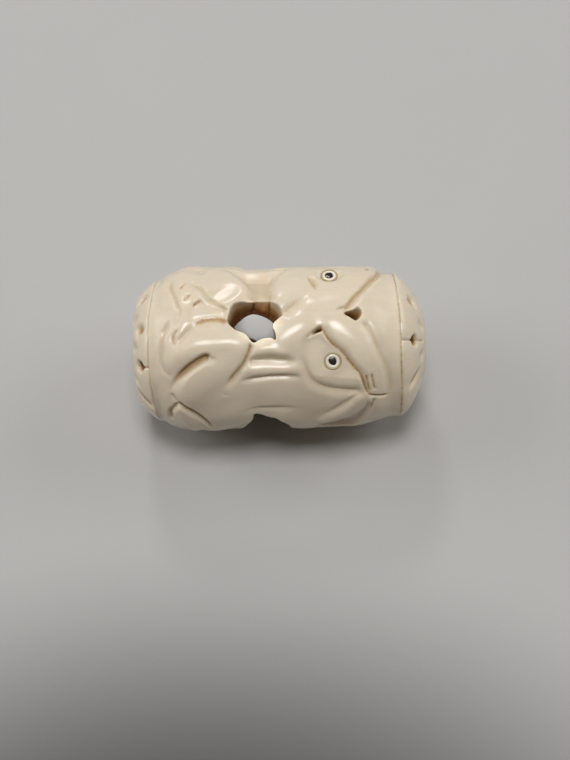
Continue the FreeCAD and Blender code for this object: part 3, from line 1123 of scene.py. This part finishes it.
@dataclass(frozen=True)
class FloorFinish:
    """Matt pale grey sheet, with a painted shadow where the viewer stands over it.

    The painted shadow lies round `shade_middle`, and thins out over `shade_reach` from it. Distances
    along x count for less in it by `shade_stretch`. Noise rates are in waves per metre.
    """

    name: str = "pale_floor"
    pale: Triple = (0.465, 0.461, 0.452)
    cloudy: Triple = (0.385, 0.38, 0.376)
    shaded: Triple = (0.105, 0.103, 0.101)
    shade_middle: Triple = (-12.0, -75.0, 0.0)
    shade_stretch: Triple = (0.66, 1.0, 1.0)
    shade_reach: Pair = (20.0, 56.0)
    cloud_rate: float = 55.0
    grit_rate: float = 1500.0
    bump_depth: float = 0.1
    roughness: float = 0.75
    specular: float = 0.25

    def material(self) -> bpy.types.Material:
        """Makes the material.

        Returns:
            The material.
        """
        nodes = Nodes(self.name)
        place = nodes.place()
        middle = tuple(length * MM for length in self.shade_middle)
        low, high = (length * MM for length in self.shade_reach)
        off = nodes.vector("SUBTRACT", {0: place, 1: middle})
        off = nodes.vector("MULTIPLY", {0: off, 1: self.shade_stretch})
        gap = nodes.vector("LENGTH", {0: off}, "Value")
        reach = {"Value": gap, "From Min": low, "From Max": high, "To Min": 1.0, "To Max": 0.0}
        share = nodes.add("ShaderNodeMapRange", reach, interpolation_type="SMOOTHSTEP").outputs[0]
        cloud = nodes.spread(nodes.noise(self.cloud_rate, 4.0), gain=0.2, offset=-0.08)
        even = nodes.mix(cloud, self.pale, self.cloudy)
        # The painted shadow darkens the colour round the viewer's place.
        nodes.feed(nodes.shader, {"Base Color": nodes.mix(share, even, self.shaded),
                                  "Roughness": self.roughness,
                                  "Specular IOR Level": self.specular})
        nodes.bump(nodes.noise(self.grit_rate, 5.0), 0.2, self.bump_depth)
        return nodes.material


@dataclass
class CarvedBarrel:
    """Hollow barrel with three frogs in relief, three windows, and sockets for the eyes.

    Before carving it is `crown` in radius and draws in at both ends. `settle` lowers the whole
    surface, by half as much away from the seams. The swells come in over the distance `inland` from
    a seam. `flat_side` is planed off round `flat_angle`, and the eyes get facets and sockets.
    """

    crown: float = 10.82
    settle: float = 0.28
    head_drop: float = 1.05
    head_draw_in: float = 6.0
    tail_drop: float = 1.15
    tail_draw_in: float = 4.7
    inland: Pair = (0.6, 2.4)
    swell_blur: int = 12
    facet_blur: int = 2
    core: float = 6.5
    core_skin: float = 0.02
    pitch: float = 0.125
    flat_side: float = 0.1
    flat_angle: float = 96.0
    flat_reach: float = 42.0
    flat_start: Pair = (-7.0, 1.0)
    edge_round: float = 0.07
    wander_reach: float = 2.2
    wave_count: int = 14
    wave_height: float = 0.011
    eye_facet: Pair = (1.15, 2.1)
    eye_room: float = 2.2
    eye_sink: float = 0.03
    eye_proud: float = 0.12
    socket_radius: float = 1.04
    socket_depth: float = 0.5
    socket_edge: float = 0.05
    socket_points: int = 24
    most_triangles: int = 196000
    tail_x: float = field(init=False)
    head_x: float = field(init=False)

    def __post_init__(self) -> None:
        """Takes the two seams from the frame."""
        low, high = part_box("carved_barrel")
        self.tail_x = low.x / MM
        self.head_x = high.x / MM

    def outer(self, x: Array) -> Array:
        """Radius of the barrel before carving.

        Args:
            x: Distances along it from its middle.

        Returns:
            Radius at each.
        """
        radius = np.full_like(x, self.crown)
        for seam, drop, reach in ((self.head_x, self.head_drop, self.head_draw_in),
                                  (self.tail_x, self.tail_drop, self.tail_draw_in)):
            radius -= drop * (1.0 - ease(np.abs(seam - x), 0.0, reach))
        return radius

    def carve(self, eyes: list["InlaidEye"]) -> tuple[Sheet, Array]:
        """Works every feature into a sheet.

        Args:
            eyes: Eyes that need a facet and a socket.

        Returns:
            The sheet, and the radius of its surface.
        """
        sheet = Sheet(self.tail_x, self.head_x, self.pitch)
        halves = ((leading_half, 3), (following_half, 2), (turned_away_half, 1), (windows, 1))
        for features, copies in halves:
            for copy in range(copies):
                for feature in features():
                    feature.work(sheet, copy * FROG_PITCH)
        along = sheet.along()
        outer = self.outer(along)[:, None]
        to_seam = np.minimum(self.head_x - along, along - self.tail_x)[:, None]
        inland = ease(to_seam, *self.inland)
        surface = outer - self.settle * (1.0 - 0.5 * inland) + blurred(sheet.rise, self.swell_blur) * inland
        above = np.where(sheet.plane > 0.0, np.clip(surface - sheet.plane, 0.0, None), 0.0)
        surface -= above * blurred(sheet.planed, self.facet_blur)
        surface += self.unevenness(sheet) - sheet.cut
        angle = np.arange(sheet.columns) * 360.0 / sheet.columns
        flat = self.flat_side * np.exp(-((angle - self.flat_angle) / self.flat_reach) ** 2)
        surface -= flat * ease(along, *self.flat_start)[:, None]
        surface = blurred(surface, 1)
        surface -= self.edge_round * np.clip(1.0 - to_seam / self.edge_round, 0.0, 1.0) ** 2
        for eye in eyes:
            self.seat(sheet, surface, eye)
        return sheet, surface

    def seat(self, sheet: Sheet, surface: Array, eye: "InlaidEye") -> None:
        """Cuts a facet and a socket for an eye.

        Args:
            sheet: Sheet to add the socket to.
            surface: Radius of its surface, which gets the facet.
            eye: The eye.
        """
        x, angle = eye.place()
        index, along, around = sheet.window(to_mm((x, angle))[None, :], self.eye_room)
        gap = np.hypot(along - x, around - math.radians(angle) * SHEET_RADIUS)
        share = 1.0 - ease(gap, *self.eye_facet)
        off = around / SHEET_RADIUS - math.radians(angle - eye.lean)
        facet = (eye.top - self.eye_sink) * math.cos(math.radians(eye.lean)) / np.cos(off)
        level = np.minimum(facet, surface[index] + self.eye_proud)
        surface[index] = surface[index] * (1.0 - share) + level * share
        turns = np.linspace(0, 2 * math.pi, self.socket_points, endpoint=False)
        ring = tuple((x + self.socket_radius * math.cos(turn),
                      angle + math.degrees(self.socket_radius * math.sin(turn) / SHEET_RADIUS))
                     for turn in turns)
        Opening(ring, floor=eye.top - self.socket_depth, soft=self.socket_edge).work(sheet, 0.0)

    def unevenness(self, sheet: Sheet) -> Array:
        """Slight waves left by the carver's hand.

        Args:
            sheet: Sheet whose grid they are for.

        Returns:
            Their height over the grid.
        """
        fewest, most = 3, 22
        shortest, longest = 3.0, 9.0
        draw = np.random.default_rng(11)
        around = np.arange(sheet.columns) / sheet.columns * 2 * math.pi
        along = sheet.along()
        waves = np.zeros((sheet.rows, sheet.columns))
        for _ in range(self.wave_count):
            turns = int(draw.integers(fewest, most))
            length = draw.uniform(shortest, longest)
            phase = draw.uniform(0, 2 * math.pi, 2)
            waves += np.outer(np.sin(along * 2 * math.pi / length + phase[0]),
                              np.cos(turns * around + phase[1]))
        return waves * self.wave_height

    def wall(self, sheet: Sheet, surface: Array) -> tuple[Array, Array]:
        """Field of the wall's solid, positive inside it.

        Args:
            sheet: Sheet with the openings.
            surface: Radius of the outer surface.

        Returns:
            The field over rows, columns and radii, and the radii.
        """
        inner_room, outer_room = 3 * self.pitch, 0.6
        radii = np.arange(self.core - inner_room, self.crown + outer_room, self.pitch)
        radius = radii[None, None, :]
        solid = surface[:, :, None] - radius
        depth = np.clip((SHEET_RADIUS - radius) / (SHEET_RADIUS - self.core), 0.0, 1.0)
        for mouth, throat, floor, soft in sheet.openings:
            outside = -mouth[:, :, None] * (1.0 - depth) - throat[:, :, None] * depth
            if floor:
                outside = np.maximum(outside, floor - radius)
            solid = soft_min(solid, outside, soft)
        solid = np.minimum(solid, radius - self.core)
        along = sheet.along()[:, None, None]
        ends = np.minimum(self.head_x - along, along - self.tail_x)
        return np.minimum(solid, ends), radii

    def stain_and_shade(self, sheet: Sheet, surface: Array, points: Array) -> Array:
        """How much dirt and painted shade each point holds.

        Args:
            sheet: Sheet that was carved.
            surface: Radius of its surface.
            points: Points of the mesh.

        Returns:
            A number from 0 to 1 for each point.
        """
        edge, film, thick = 0.2, 0.36, 0.6
        radius = np.hypot(points[:, 1], points[:, 2])
        angle = np.degrees(np.arctan2(points[:, 2], -points[:, 1])) - SHEET_ORIGIN_ANGLE
        row = ((points[:, 0] - sheet.along()[0]) / self.pitch).round().astype(int)
        row = np.clip(row, 0, sheet.rows - 1)
        column = (angle / 360.0 * sheet.columns).round().astype(int) % sheet.columns
        below = np.clip(surface[row, column] - radius - edge, 0.0, None)
        # Walls under the surface darken the deeper they go: dirt and painted shade.
        walls = ease(below, 0.0, 0.35) * (film + thick * ease(below, 0.3, 2.6))
        # Places deep under the smooth barrel darken as well: painted shade.
        depth = np.clip(self.outer(points[:, 0]) - self.settle - radius, 0.0, None)
        deep = 0.3 * ease(depth, 0.9, 3.0)
        to_seam = np.minimum(self.head_x + seam_wander(1, angle) - points[:, 0],
                             points[:, 0] - self.tail_x - seam_wander(-1, angle))
        seam = seam_dirt(points[:, 0], angle) * (1.0 - ease(to_seam, 0.1, 0.36))
        return np.clip(np.maximum.reduce((sheet.grime[row, column] + walls, deep, seam)), 0.0, 1.0)

    def build(self, finish: BoneFinish, eyes: list["InlaidEye"]) -> bpy.types.Object:
        """Makes the barrel.

        Args:
            finish: Its finish.
            eyes: Eyes set into it.

        Returns:
            The piece.
        """
        sheet, surface = self.carve(eyes)
        solid, radii = self.wall(sheet, surface)
        steps, faces = net_over(solid)
        x = sheet.along()[0] + steps[:, 0] * self.pitch
        turn = steps[:, 1] * 360.0 / sheet.columns
        radius = radii[0] + steps[:, 2] * self.pitch
        for outward, seam in ((1, self.head_x), (-1, self.tail_x)):
            near = 1.0 - ease(np.abs(seam - x), 0.0, self.wander_reach)
            x = x + near * seam_wander(outward, turn)
        points = on_barrel(x, SHEET_ORIGIN_ANGLE + turn, radius)
        piece = mesh_piece("carved_relief_barrel", points, faces.tolist())
        self.thin(piece, radius)
        # Dirt and painted shade per point, which the finish reads.
        add_field(piece, "stain_and_shade", self.stain_and_shade(sheet, surface, points_of(piece)))
        piece.data.materials.append(finish.material())
        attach(piece, "root")
        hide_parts("carved_barrel")
        return piece

    def thin(self, piece: bpy.types.Object, radius: Array) -> None:
        """Thins the mesh of the plain core, then all of it, until it has few enough triangles.

        Args:
            piece: The barrel.
            radius: Radius of each of its points.
        """
        plain = radius < self.core + self.core_skin
        group = piece.vertex_groups.new(name="core")
        group.add(np.flatnonzero(plain).tolist(), 1.0, "REPLACE")
        core_only = piece.modifiers.new("core_only", "DECIMATE")
        core_only.vertex_group = group.name
        core_only.ratio = max(0.0, 1.0 - np.mean(plain))
        applied(piece)
        piece.vertex_groups.clear()
        triangles = sum(len(face.vertices) - 2 for face in piece.data.polygons)
        LOG.info("barrel: %d triangles before the last thinning", triangles)
        evenly = piece.modifiers.new("evenly", "DECIMATE")
        evenly.ratio = min(1.0, self.most_triangles / triangles)
        applied(piece)


class Nick(Enum):
    """Kind of cut between two petals of a cap."""

    DRILLED = "drilled"
    OVAL = "oval"
    WEDGE = "wedge"

    def cut(self, wide: Array, high: Array, line: Array) -> Array:
        """Depth of the cut.

        Args:
            wide: Distance from its middle round the cap.
            high: Distance from its middle over the dome.
            line: Strength of the scribed line that runs up to it from the rim.

        Returns:
            Depth at each place.
        """
        if self is Nick.DRILLED:
            depth, radius, line_depth = 0.85, 0.7, 0.26
            pit = np.exp(-(((wide ** 2 + high ** 2) / radius ** 2) ** 2.5))
            return depth * pit + line_depth * line
        if self is Nick.OVAL:
            depth, half_width, half_height = 0.42, 0.75, 0.85
            return depth * np.exp(-((wide / half_width) ** 2 + (high / half_height) ** 2) ** 1.6)
        depth, half_width, half_height, lean = 0.55, 0.42, 1.15, 0.5
        across = np.abs((wide - lean * high) / half_width)
        return depth * np.exp(-across ** 1.6 - (high / half_height) ** 4)


@dataclass
class EndCap:
    """Domed cap with petals cut round its edge, a cord bore and a spigot that plugs the core.

    `outward` is 1 at the head end and -1 at the tail end, and `short` is left off the cap's length.
    `fullness` shapes the dome: 1 would be a straight bevel and 2 a quarter of an ellipse.
    A nick lies between each two petals, `nick_run` over the dome from the rim. A shallow valley runs
    through it, and a scribed line ends `line_beyond` past it. A notch cuts each petal's middle at
    `notch_run`.
    """

    node: str
    name: str
    outward: int
    petals: int
    first_nick: float
    rim_radius: float
    face_radius: float
    fullness: float
    short: float
    kinds: tuple[Nick, ...]
    nick_run: float
    notch_run: float
    line_beyond: float
    valley_depth: float = 0.14
    valley_width: float = 0.9
    notch_depth: float = 0.3
    notch_width: float = 0.6
    notch_length: float = 0.9
    bore: float = 1.25
    bore_rings: int = 12
    spigot: float = 6.4
    chamfer: float = 0.15
    around: int = 420
    along_dome: int = 90
    lip: float = 0.1
    lip_run: float = 0.25
    face_margin: float = 0.6
    sharpest: float = 50.0
    seam: float = field(init=False)
    face: float = field(init=False)
    spigot_end: float = field(init=False)

    def __post_init__(self) -> None:
        """Takes its length and its seam from the frame."""
        low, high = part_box(self.node)
        barrel_low, barrel_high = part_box("carved_barrel")
        ends = (low.x, high.x)
        self.face = (max(ends) if self.outward > 0 else min(ends)) / MM - self.outward * self.short
        self.spigot_end = (min(ends) if self.outward > 0 else max(ends)) / MM
        self.seam = (barrel_high.x if self.outward > 0 else barrel_low.x) / MM

    def dome(self) -> tuple[Array, Array]:
        """Outline of the dome from its rim to its flat face.

        Returns:
            Places of the outline, as x and radius, and the distance run from the rim to each.
        """
        turn = np.linspace(0.0, 1.0, self.along_dome) * math.pi / 2
        bow = 2.0 / self.fullness
        reach = self.face_radius + (self.rim_radius - self.face_radius) * np.cos(turn) ** bow
        x = self.seam + (self.face - self.seam) * np.sin(turn) ** bow
        outline = np.stack((x, reach), axis=1)
        legs = np.linalg.norm(np.diff(outline, axis=0), axis=1)
        run = np.concatenate(((0.0,), np.cumsum(legs)))
        even = np.linspace(0.0, run[-1], self.along_dome)
        outline = np.stack([np.interp(even, run, outline[:, n]) for n in range(2)], axis=1)
        return outline, even

    def relief(self, run: Array, reach: Array, angle: Array) -> Array:
        """Depth of the cuts over the dome.

        Args:
            run: Distance from the rim over the dome.
            reach: Radius there.
            angle: Angle up round the cap, on the sheet.

        Returns:
            Depth at each place.
        """
        draw = np.random.default_rng(7 + self.petals)
        stray, fade_before, fade_past = 3.0, 0.3, 0.1
        depth = np.zeros(np.broadcast(run, angle).shape)
        pitch = 360.0 / self.petals
        high = run - self.nick_run
        near_seam = 1.0 - ease(high, self.line_beyond - fade_before, self.line_beyond + fade_past)
        low_part = 1.0 - ease(run, 0.5 * self.notch_run, self.notch_run)
        for n in range(self.petals):
            middle = self.first_nick + n * pitch + (draw.uniform(-stray, stray) if n else 0.0)
            wide = np.radians(half_turn_off(angle, middle)) * reach
            line = np.exp(-(wide / SCRIBED) ** 2) * near_seam
            valley = self.valley_depth * np.exp(-(wide / self.valley_width) ** 2) * low_part
            cut = self.kinds[n % len(self.kinds)].cut(wide, high, line)
            inner = np.radians(half_turn_off(angle - middle, pitch / 2)) * reach
            notch = self.notch_depth * np.exp(-(inner / self.notch_width) ** 2
                                              - ((run - self.notch_run) / self.notch_length) ** 2)
            depth = np.maximum.reduce((depth, cut + valley, notch))
        return depth

    def inside_outline(self) -> list[Pair]:
        """Outline from the flat face, down the cord bore and back over the spigot to the seam.

        Returns:
            Places of the outline, as x and radius.
        """
        step = self.outward * self.chamfer
        bore = np.linspace(self.face - step, self.spigot_end, self.bore_rings)
        return ([(self.face, self.bore + 0.5), (self.face - 0.2 * step, self.bore + 0.1)]
                + [(x, self.bore) for x in bore]
                + [(self.spigot_end, self.spigot - 0.2), (self.spigot_end + step, self.spigot),
                   (self.seam, self.spigot)])

    def rings(self) -> tuple[Array, Array]:
        """Rings of points over the dome, through the bore and over the spigot.

        Returns:
            Points as x and radius, and the dirt and painted shade on each, both over rings and places round
            the cap.
        """
        # The bore is darkened with dirt and painted shade, the hidden spigot a little with dirt.
        bore_dirt_and_shade, spigot_dirt = 0.6, 0.1
        outline, run = self.dome()
        slope = np.gradient(outline, axis=0)
        slope /= np.linalg.norm(slope, axis=1, keepdims=True)
        normal = np.stack((-slope[:, 1], slope[:, 0]), axis=1) * self.outward
        angle = np.arange(self.around) * 360.0 / self.around
        depth = self.relief(run[:, None], outline[:, 1:], angle[None, :])
        depth *= 1.0 - ease(run, run[-1] - self.face_margin, run[-1])[:, None]
        lip = self.lip * (1.0 - ease(run, 0.0, self.lip_run))[:, None]
        grid = outline[:, None, :] - normal[:, None, :] * (depth + lip)[:, :, None]
        grid[..., 0] += seam_wander(self.outward, angle) * (1.0 - ease(run / run[-1], 0.0, 0.8))[:, None]
        # Cuts darken with their depth: dirt and painted shade.
        shallow = 0.3 * ease(depth, 0.16, 0.5)
        deep = 0.6 * ease(depth, 0.35, 0.85)
        film = seam_dirt(self.outward, angle) * (1.0 - ease(run, 0.06, 0.26))[:, None]
        places = np.array(self.inside_outline())[:, None, :]
        inside = np.broadcast_to(places, (len(places), self.around, 2))
        inside_dirt_and_shade = np.where(inside[..., 1] > self.bore, spigot_dirt, bore_dirt_and_shade)
        dirt_and_shade = np.concatenate((np.maximum(shallow + deep, film), inside_dirt_and_shade))
        return np.concatenate((grid, inside)), dirt_and_shade

    def build(self, finish: BoneFinish) -> bpy.types.Object:
        """Makes the cap.

        Args:
            finish: Its finish.

        Returns:
            The piece.
        """
        grid, dirt_and_shade = self.rings()
        angle = np.arange(self.around) * 360.0 / self.around + SHEET_ORIGIN_ANGLE
        points = on_barrel(grid[..., 0], angle[None, :], grid[..., 1]).reshape(-1, 3)
        facing_out = (0, 3, 2, 1) if self.outward > 0 else (1, 2, 3, 0)
        quads = ring_quads(len(grid), self.around, closed=True)[:, facing_out]
        piece = mesh_piece(self.name, points, quads.tolist())
        piece.data.set_sharp_from_angle(angle=math.radians(self.sharpest))
        add_field(piece, "stain_and_shade", dirt_and_shade.ravel())
        piece.data.materials.append(finish.material())
        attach(piece, "root")
        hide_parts(self.node)
        return piece


class EyeSeat(Enum):
    """How an eye sits: its lean, and the distance of its top from the barrel's axis."""

    UPPER = (-9.0, 10.31)
    LOWER = (20.0, 10.34)


@dataclass
class InlaidEye:
    """Round pale disc in a ring of glue, with a dark pupil that isn't quite round.

    Each wave of the pupil's edge has its count in a turn and its share of the reach in `wobble`.
    """

    node: str
    seat: EyeSeat
    disc_radius: float = 0.89
    ring_radius: float = 0.99
    ring_thickness: float = 0.12
    ring_points: int = 13
    pupil_radius: float = 0.52
    pupil_fit: float = 0.95
    pupil_gap: float = 0.03
    wobble: tuple[tuple[int, float], ...] = ((2, 0.07), (3, 0.06), (5, 0.035))
    depth: float = 0.42
    around: int = 64
    sharpest: float = 40.0

    @property
    def lean(self) -> float:
        """Angle by which it turns from straight out, towards lower angles on the sheet."""
        return self.seat.value[0]

    @property
    def top(self) -> float:
        """Distance of its top from the barrel's axis."""
        return self.seat.value[1]

    def place(self) -> Place:
        """Finds the eye on the sheet, from the middle of its CAD disc.

        Returns:
            Its distance and angle.
        """
        low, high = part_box(self.node + "_disc")
        middle = (low + high) / 2 / MM
        angle = math.degrees(math.atan2(middle.z, -middle.y)) - SHEET_ORIGIN_ANGLE
        return middle.x - SHEET_ORIGIN_X, angle

    def turn_up(self, outline: list[Pair], edge: Callable[[float], float]) -> tuple[Array, list]:
        """Turned form about the eye's own axis.

        Args:
            outline: Reach from the eye's middle and height, from the top's middle down and round.
            edge: Factor on the reach at an angle.

        Returns:
            Points in millimetres, and faces.
        """
        along, angle = self.place()
        middle = on_barrel(along + SHEET_ORIGIN_X, angle + SHEET_ORIGIN_ANGLE, self.top)
        up = on_barrel(0.0, angle - self.lean + SHEET_ORIGIN_ANGLE, 1.0)
        side = np.array((1.0, 0.0, 0.0))
        cross = np.cross(up, side)
        turns = np.arange(self.around) * 2 * math.pi / self.around
        shape = np.array([edge(turn) for turn in turns])[:, None]
        ring = np.cos(turns)[:, None] * side + np.sin(turns)[:, None] * cross
        points = [middle + ring * reach * shape + up * height for reach, height in outline]
        count = len(outline)
        faces = ring_quads(count, self.around, closed=False).tolist()
        if outline[0] != outline[-1]:
            faces.append(range(self.around))
            faces.append(range(count * self.around - 1, (count - 1) * self.around - 1, -1))
        return np.vstack(points), faces

    def piece(self, name: str, outline: list[Pair], material: bpy.types.Material,
              edge: Callable[[float], float] = lambda turn: 1.0) -> bpy.types.Object:
        """Makes one turned piece of the eye, which rides with the toggle.

        Args:
            name: Name of the piece.
            outline: Reach and height of its outline.
            material: Its material.
            edge: Factor on the reach at an angle.

        Returns:
            The piece.
        """
        points, faces = self.turn_up(outline, edge)
        piece = mesh_piece(name, points, faces)
        piece.data.set_sharp_from_angle(angle=math.radians(self.sharpest))
        piece.data.materials.append(material)
        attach(piece, "root")
        return piece

    def build(self, white: bpy.types.Material, black: bpy.types.Material, glue: bpy.types.Material) -> None:
        """Makes the disc, the pupil and the ring of glue, each from reaches and heights of its outline.

        Args:
            white: Material of the disc.
            black: Material of the pupil.
            glue: Material of the ring.
        """
        hole = self.pupil_radius + self.pupil_gap
        rim = self.disc_radius
        disc = [(hole * 0.5, -0.1), (hole, -0.1), (hole, 0.02), (hole + 0.03, 0.045),
                (0.5 * (hole + rim), 0.05), (rim - 0.05, 0.03), (rim, -0.02), (rim, -self.depth)]
        white_piece = self.piece(self.node + "_pale_disc", disc, white)
        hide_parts(self.node + "_disc")

        draw = np.random.default_rng(sum(map(ord, self.node)))
        phases = draw.uniform(0, 2 * math.pi, len(self.wobble))

        def ragged(turn: float) -> float:
            """Factor on the pupil's reach at an angle."""
            waves = zip(self.wobble, phases)
            return sum((far * math.cos(often * turn + phase) for (often, far), phase in waves), 1.0)

        radius = self.pupil_radius * self.pupil_fit
        pupil = [(radius * 0.3, 0.085), (radius * 0.7, 0.075), (radius * 0.93, 0.05), (radius, 0.0),
                 (radius, -0.095)]
        black_piece = self.piece(self.node + "_dark_pupil", pupil, black, ragged)
        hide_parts(self.node + "_pupil")

        bead = [(self.ring_radius + self.ring_thickness * math.cos(turn),
                 0.01 + 0.6 * self.ring_thickness * math.sin(turn))
                for turn in np.linspace(0, 2 * math.pi, self.ring_points)]
        bead[-1] = bead[0]
        self.piece(self.node + "_glue_ring", bead[::-1], glue)


@dataclass(frozen=True)
class Lamp:
    """Soft square lamp aimed at the toggle.

    `azimuth` is its angle round the toggle, 0 at the front and 90 at the head end, and `elevation`
    its angle above the floor.
    """

    name: str
    azimuth: float
    elevation: float
    distance_m: float
    size_m: float
    watts: float

    def build(self) -> None:
        """Hangs the lamp."""
        turn = math.radians(self.azimuth)
        lift = math.radians(self.elevation)
        toward = Vector((math.sin(turn) * math.cos(lift), -math.cos(turn) * math.cos(lift), math.sin(lift)))
        data = bpy.data.lights.new(self.name, "AREA")
        data.size = self.size_m
        data.energy = self.watts
        aimed(data, toward * self.distance_m, -toward)


@dataclass(frozen=True)
class Beam:
    """Narrow beam from the viewer, which reaches the floor through the front window."""

    width: float = 1.95
    blend: float = 0.4
    lens_radius: float = 1.0
    watts: float = 0.8
    target: Triple = (-3.1, 9.2, -10.7)

    def build(self, viewer: Vector) -> None:
        """Hangs the beam.

        Args:
            viewer: Place of the viewer in metres.
        """
        data = bpy.data.lights.new("beam", "SPOT")
        data.spot_size = math.radians(self.width)
        data.spot_blend = self.blend
        data.shadow_soft_size = self.lens_radius * MM
        data.energy = self.watts
        aimed(data, viewer, Vector(self.target) * MM - viewer)


def aimed(data: bpy.types.Light, place: Vector, heading: Vector) -> None:
    """Hangs a light.

    Args:
        data: The light.
        place: Its place in metres.
        heading: Direction in which it shines.
    """
    lamp = bpy.data.objects.new(data.name, data)
    lamp.location = place
    lamp.rotation_mode = "QUATERNION"
    lamp.rotation_quaternion = heading.to_track_quat("-Z", "Y")
    bpy.context.scene.collection.objects.link(lamp)


@dataclass
class Studio:
    """Floor, soft lights and the camera."""

    view_elevation: float = 66.0
    roll: float = 1.43
    distance: float = 165.0
    aim_right: float = 0.6
    aim_down: float = 4.34
    lens: float = 58.83
    sensor: float = 36.0
    nearest: float = 5.0
    floor_half_m: float = 0.9
    floor_lines: int = 40
    world_colour: Triple = (1.0, 0.87, 0.75)
    world_strength: float = 0.11
    beam: Beam = Beam()
    lamps: tuple[Lamp, ...] = (
        Lamp("ceiling", azimuth=0, elevation=89, distance_m=0.6, size_m=0.18, watts=1.76),
        Lamp("near_lamp", azimuth=0, elevation=88, distance_m=0.5, size_m=0.06, watts=0.07),
        Lamp("far_lamp", azimuth=189, elevation=43, distance_m=0.5, size_m=0.075, watts=0.36),
        Lamp("right_window", azimuth=110, elevation=32, distance_m=0.5, size_m=0.3, watts=0.76),
        Lamp("left_window", azimuth=-103, elevation=32, distance_m=0.5, size_m=0.3, watts=0.84),
    )

    def axes(self) -> tuple[Vector, Vector, Vector]:
        """Directions of the view.

        Returns:
            Its right, its up, and back from it towards the viewer.
        """
        tilt = math.radians(self.view_elevation)
        roll = math.radians(self.roll)
        back = Vector((0, -math.cos(tilt), math.sin(tilt)))
        level_up = Vector((0, math.sin(tilt), math.cos(tilt)))
        level_right = Vector((1, 0, 0))
        right = math.cos(roll) * level_right - math.sin(roll) * level_up
        up = math.sin(roll) * level_right + math.cos(roll) * level_up
        return right, up, back

    def viewer(self) -> Vector:
        """Place of the viewer in metres."""
        right, up, back = self.axes()
        return (right * self.aim_right - up * self.aim_down + back * self.distance) * MM

    def camera(self) -> None:
        """Puts the camera in front of the toggle and above it."""
        data = bpy.data.cameras.new("camera")
        data.lens = self.lens
        data.sensor_width = self.sensor
        data.clip_start = self.nearest * MM
        camera = bpy.data.objects.new("camera", data)
        turn = Matrix(self.axes()).transposed().to_4x4()
        camera.matrix_world = Matrix.Translation(self.viewer()) @ turn
        bpy.context.scene.collection.objects.link(camera)
        bpy.context.scene.camera = camera

    def floor(self, height: float) -> None:
        """Lays the floor.

        Args:
            height: Its height in metres.
        """
        count = self.floor_lines
        line = np.linspace(-self.floor_half_m, self.floor_half_m, count)
        x, y = np.meshgrid(line, line, indexing="ij")
        points = np.stack((x, y, np.full_like(x, height)), axis=-1).reshape(-1, 3) / MM
        faces = [(n * count + m, (n + 1) * count + m, (n + 1) * count + m + 1, n * count + m + 1)
                 for n in range(count - 1) for m in range(count - 1)]
        floor = mesh_piece("floor", points, faces)
        floor.data.materials.append(FloorFinish().material())
        floor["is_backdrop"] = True

    def world(self) -> None:
        """Gives an even warm light from all round."""
        world = bpy.data.worlds.new("studio")
        world.use_nodes = True
        background = world.node_tree.nodes["Background"]
        background.inputs["Color"].default_value = (*self.world_colour, 1.0)
        background.inputs["Strength"].default_value = self.world_strength
        bpy.context.scene.world = world

    def build(self) -> None:
        """Makes the whole setting, with the floor under the toggle's lowest point."""
        self.camera()
        self.world()
        self.floor(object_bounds()[0].z)
        for lamp in self.lamps:
            lamp.build()
        self.beam.build(self.viewer())
        bpy.context.scene.view_settings.view_transform = "Standard"


def main() -> None:
    """Builds the toggle piece by piece, then its setting."""
    logging.basicConfig(level=logging.INFO, format="%(message)s")
    eyes = []
    for node in sorted(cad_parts):
        if node.endswith("_eye_disc"):
            seat = EyeSeat.LOWER if "lower" in node else EyeSeat.UPPER
            eyes.append(InlaidEye(node.removesuffix("_disc"), seat))
    barrel = CarvedBarrel().build(BoneFinish("carved_bone_finish"), eyes)
    LOG.info("barrel: %d faces", len(barrel.data.polygons))
    drilled, oval, wedge = Nick
    caps = (
        EndCap("head_end_cap", "petalled_head_cap", outward=1, petals=9, first_nick=2.0, rim_radius=9.6,
               face_radius=3.4, fullness=1.43, short=0.0, nick_run=2.75, notch_run=4.9, line_beyond=2.75,
               kinds=(drilled, oval, drilled, oval, wedge, drilled, oval, drilled, wedge)),
        EndCap("tail_end_cap", "petalled_tail_cap", outward=-1, petals=11, first_nick=-15.4, rim_radius=9.4,
               face_radius=5.8, fullness=1.5, short=0.1, nick_run=1.8, notch_run=3.2, line_beyond=0.0,
               kinds=(drilled, oval, oval, drilled, wedge, drilled, oval, drilled, oval, drilled, wedge)),
    )
    for cap in caps:
        piece = cap.build(BoneFinish(cap.name + "_finish"))
        LOG.info("%s: %d faces", piece.name, len(piece.data.polygons))
    white = InlayFinish("eye_white_finish", colour=(0.84, 0.80, 0.69), deep=(0.76, 0.70, 0.56),
                        roughness=0.22, coat=0.4)
    black = InlayFinish("eye_black_finish", colour=(0.008, 0.008, 0.009), deep=(0.02, 0.018, 0.016),
                        roughness=0.18, coat=0.5)
    glue = InlayFinish("eye_glue_finish", colour=(0.34, 0.24, 0.12), deep=(0.50, 0.39, 0.22),
                       roughness=0.4, coat=0.1)
    materials = [finish.material() for finish in (white, black, glue)]
    for eye in eyes:
        eye.build(*materials)
        LOG.info("%s: disc, pupil and ring", eye.node)
    Studio().build()


if __name__ == "__main__":
    main()
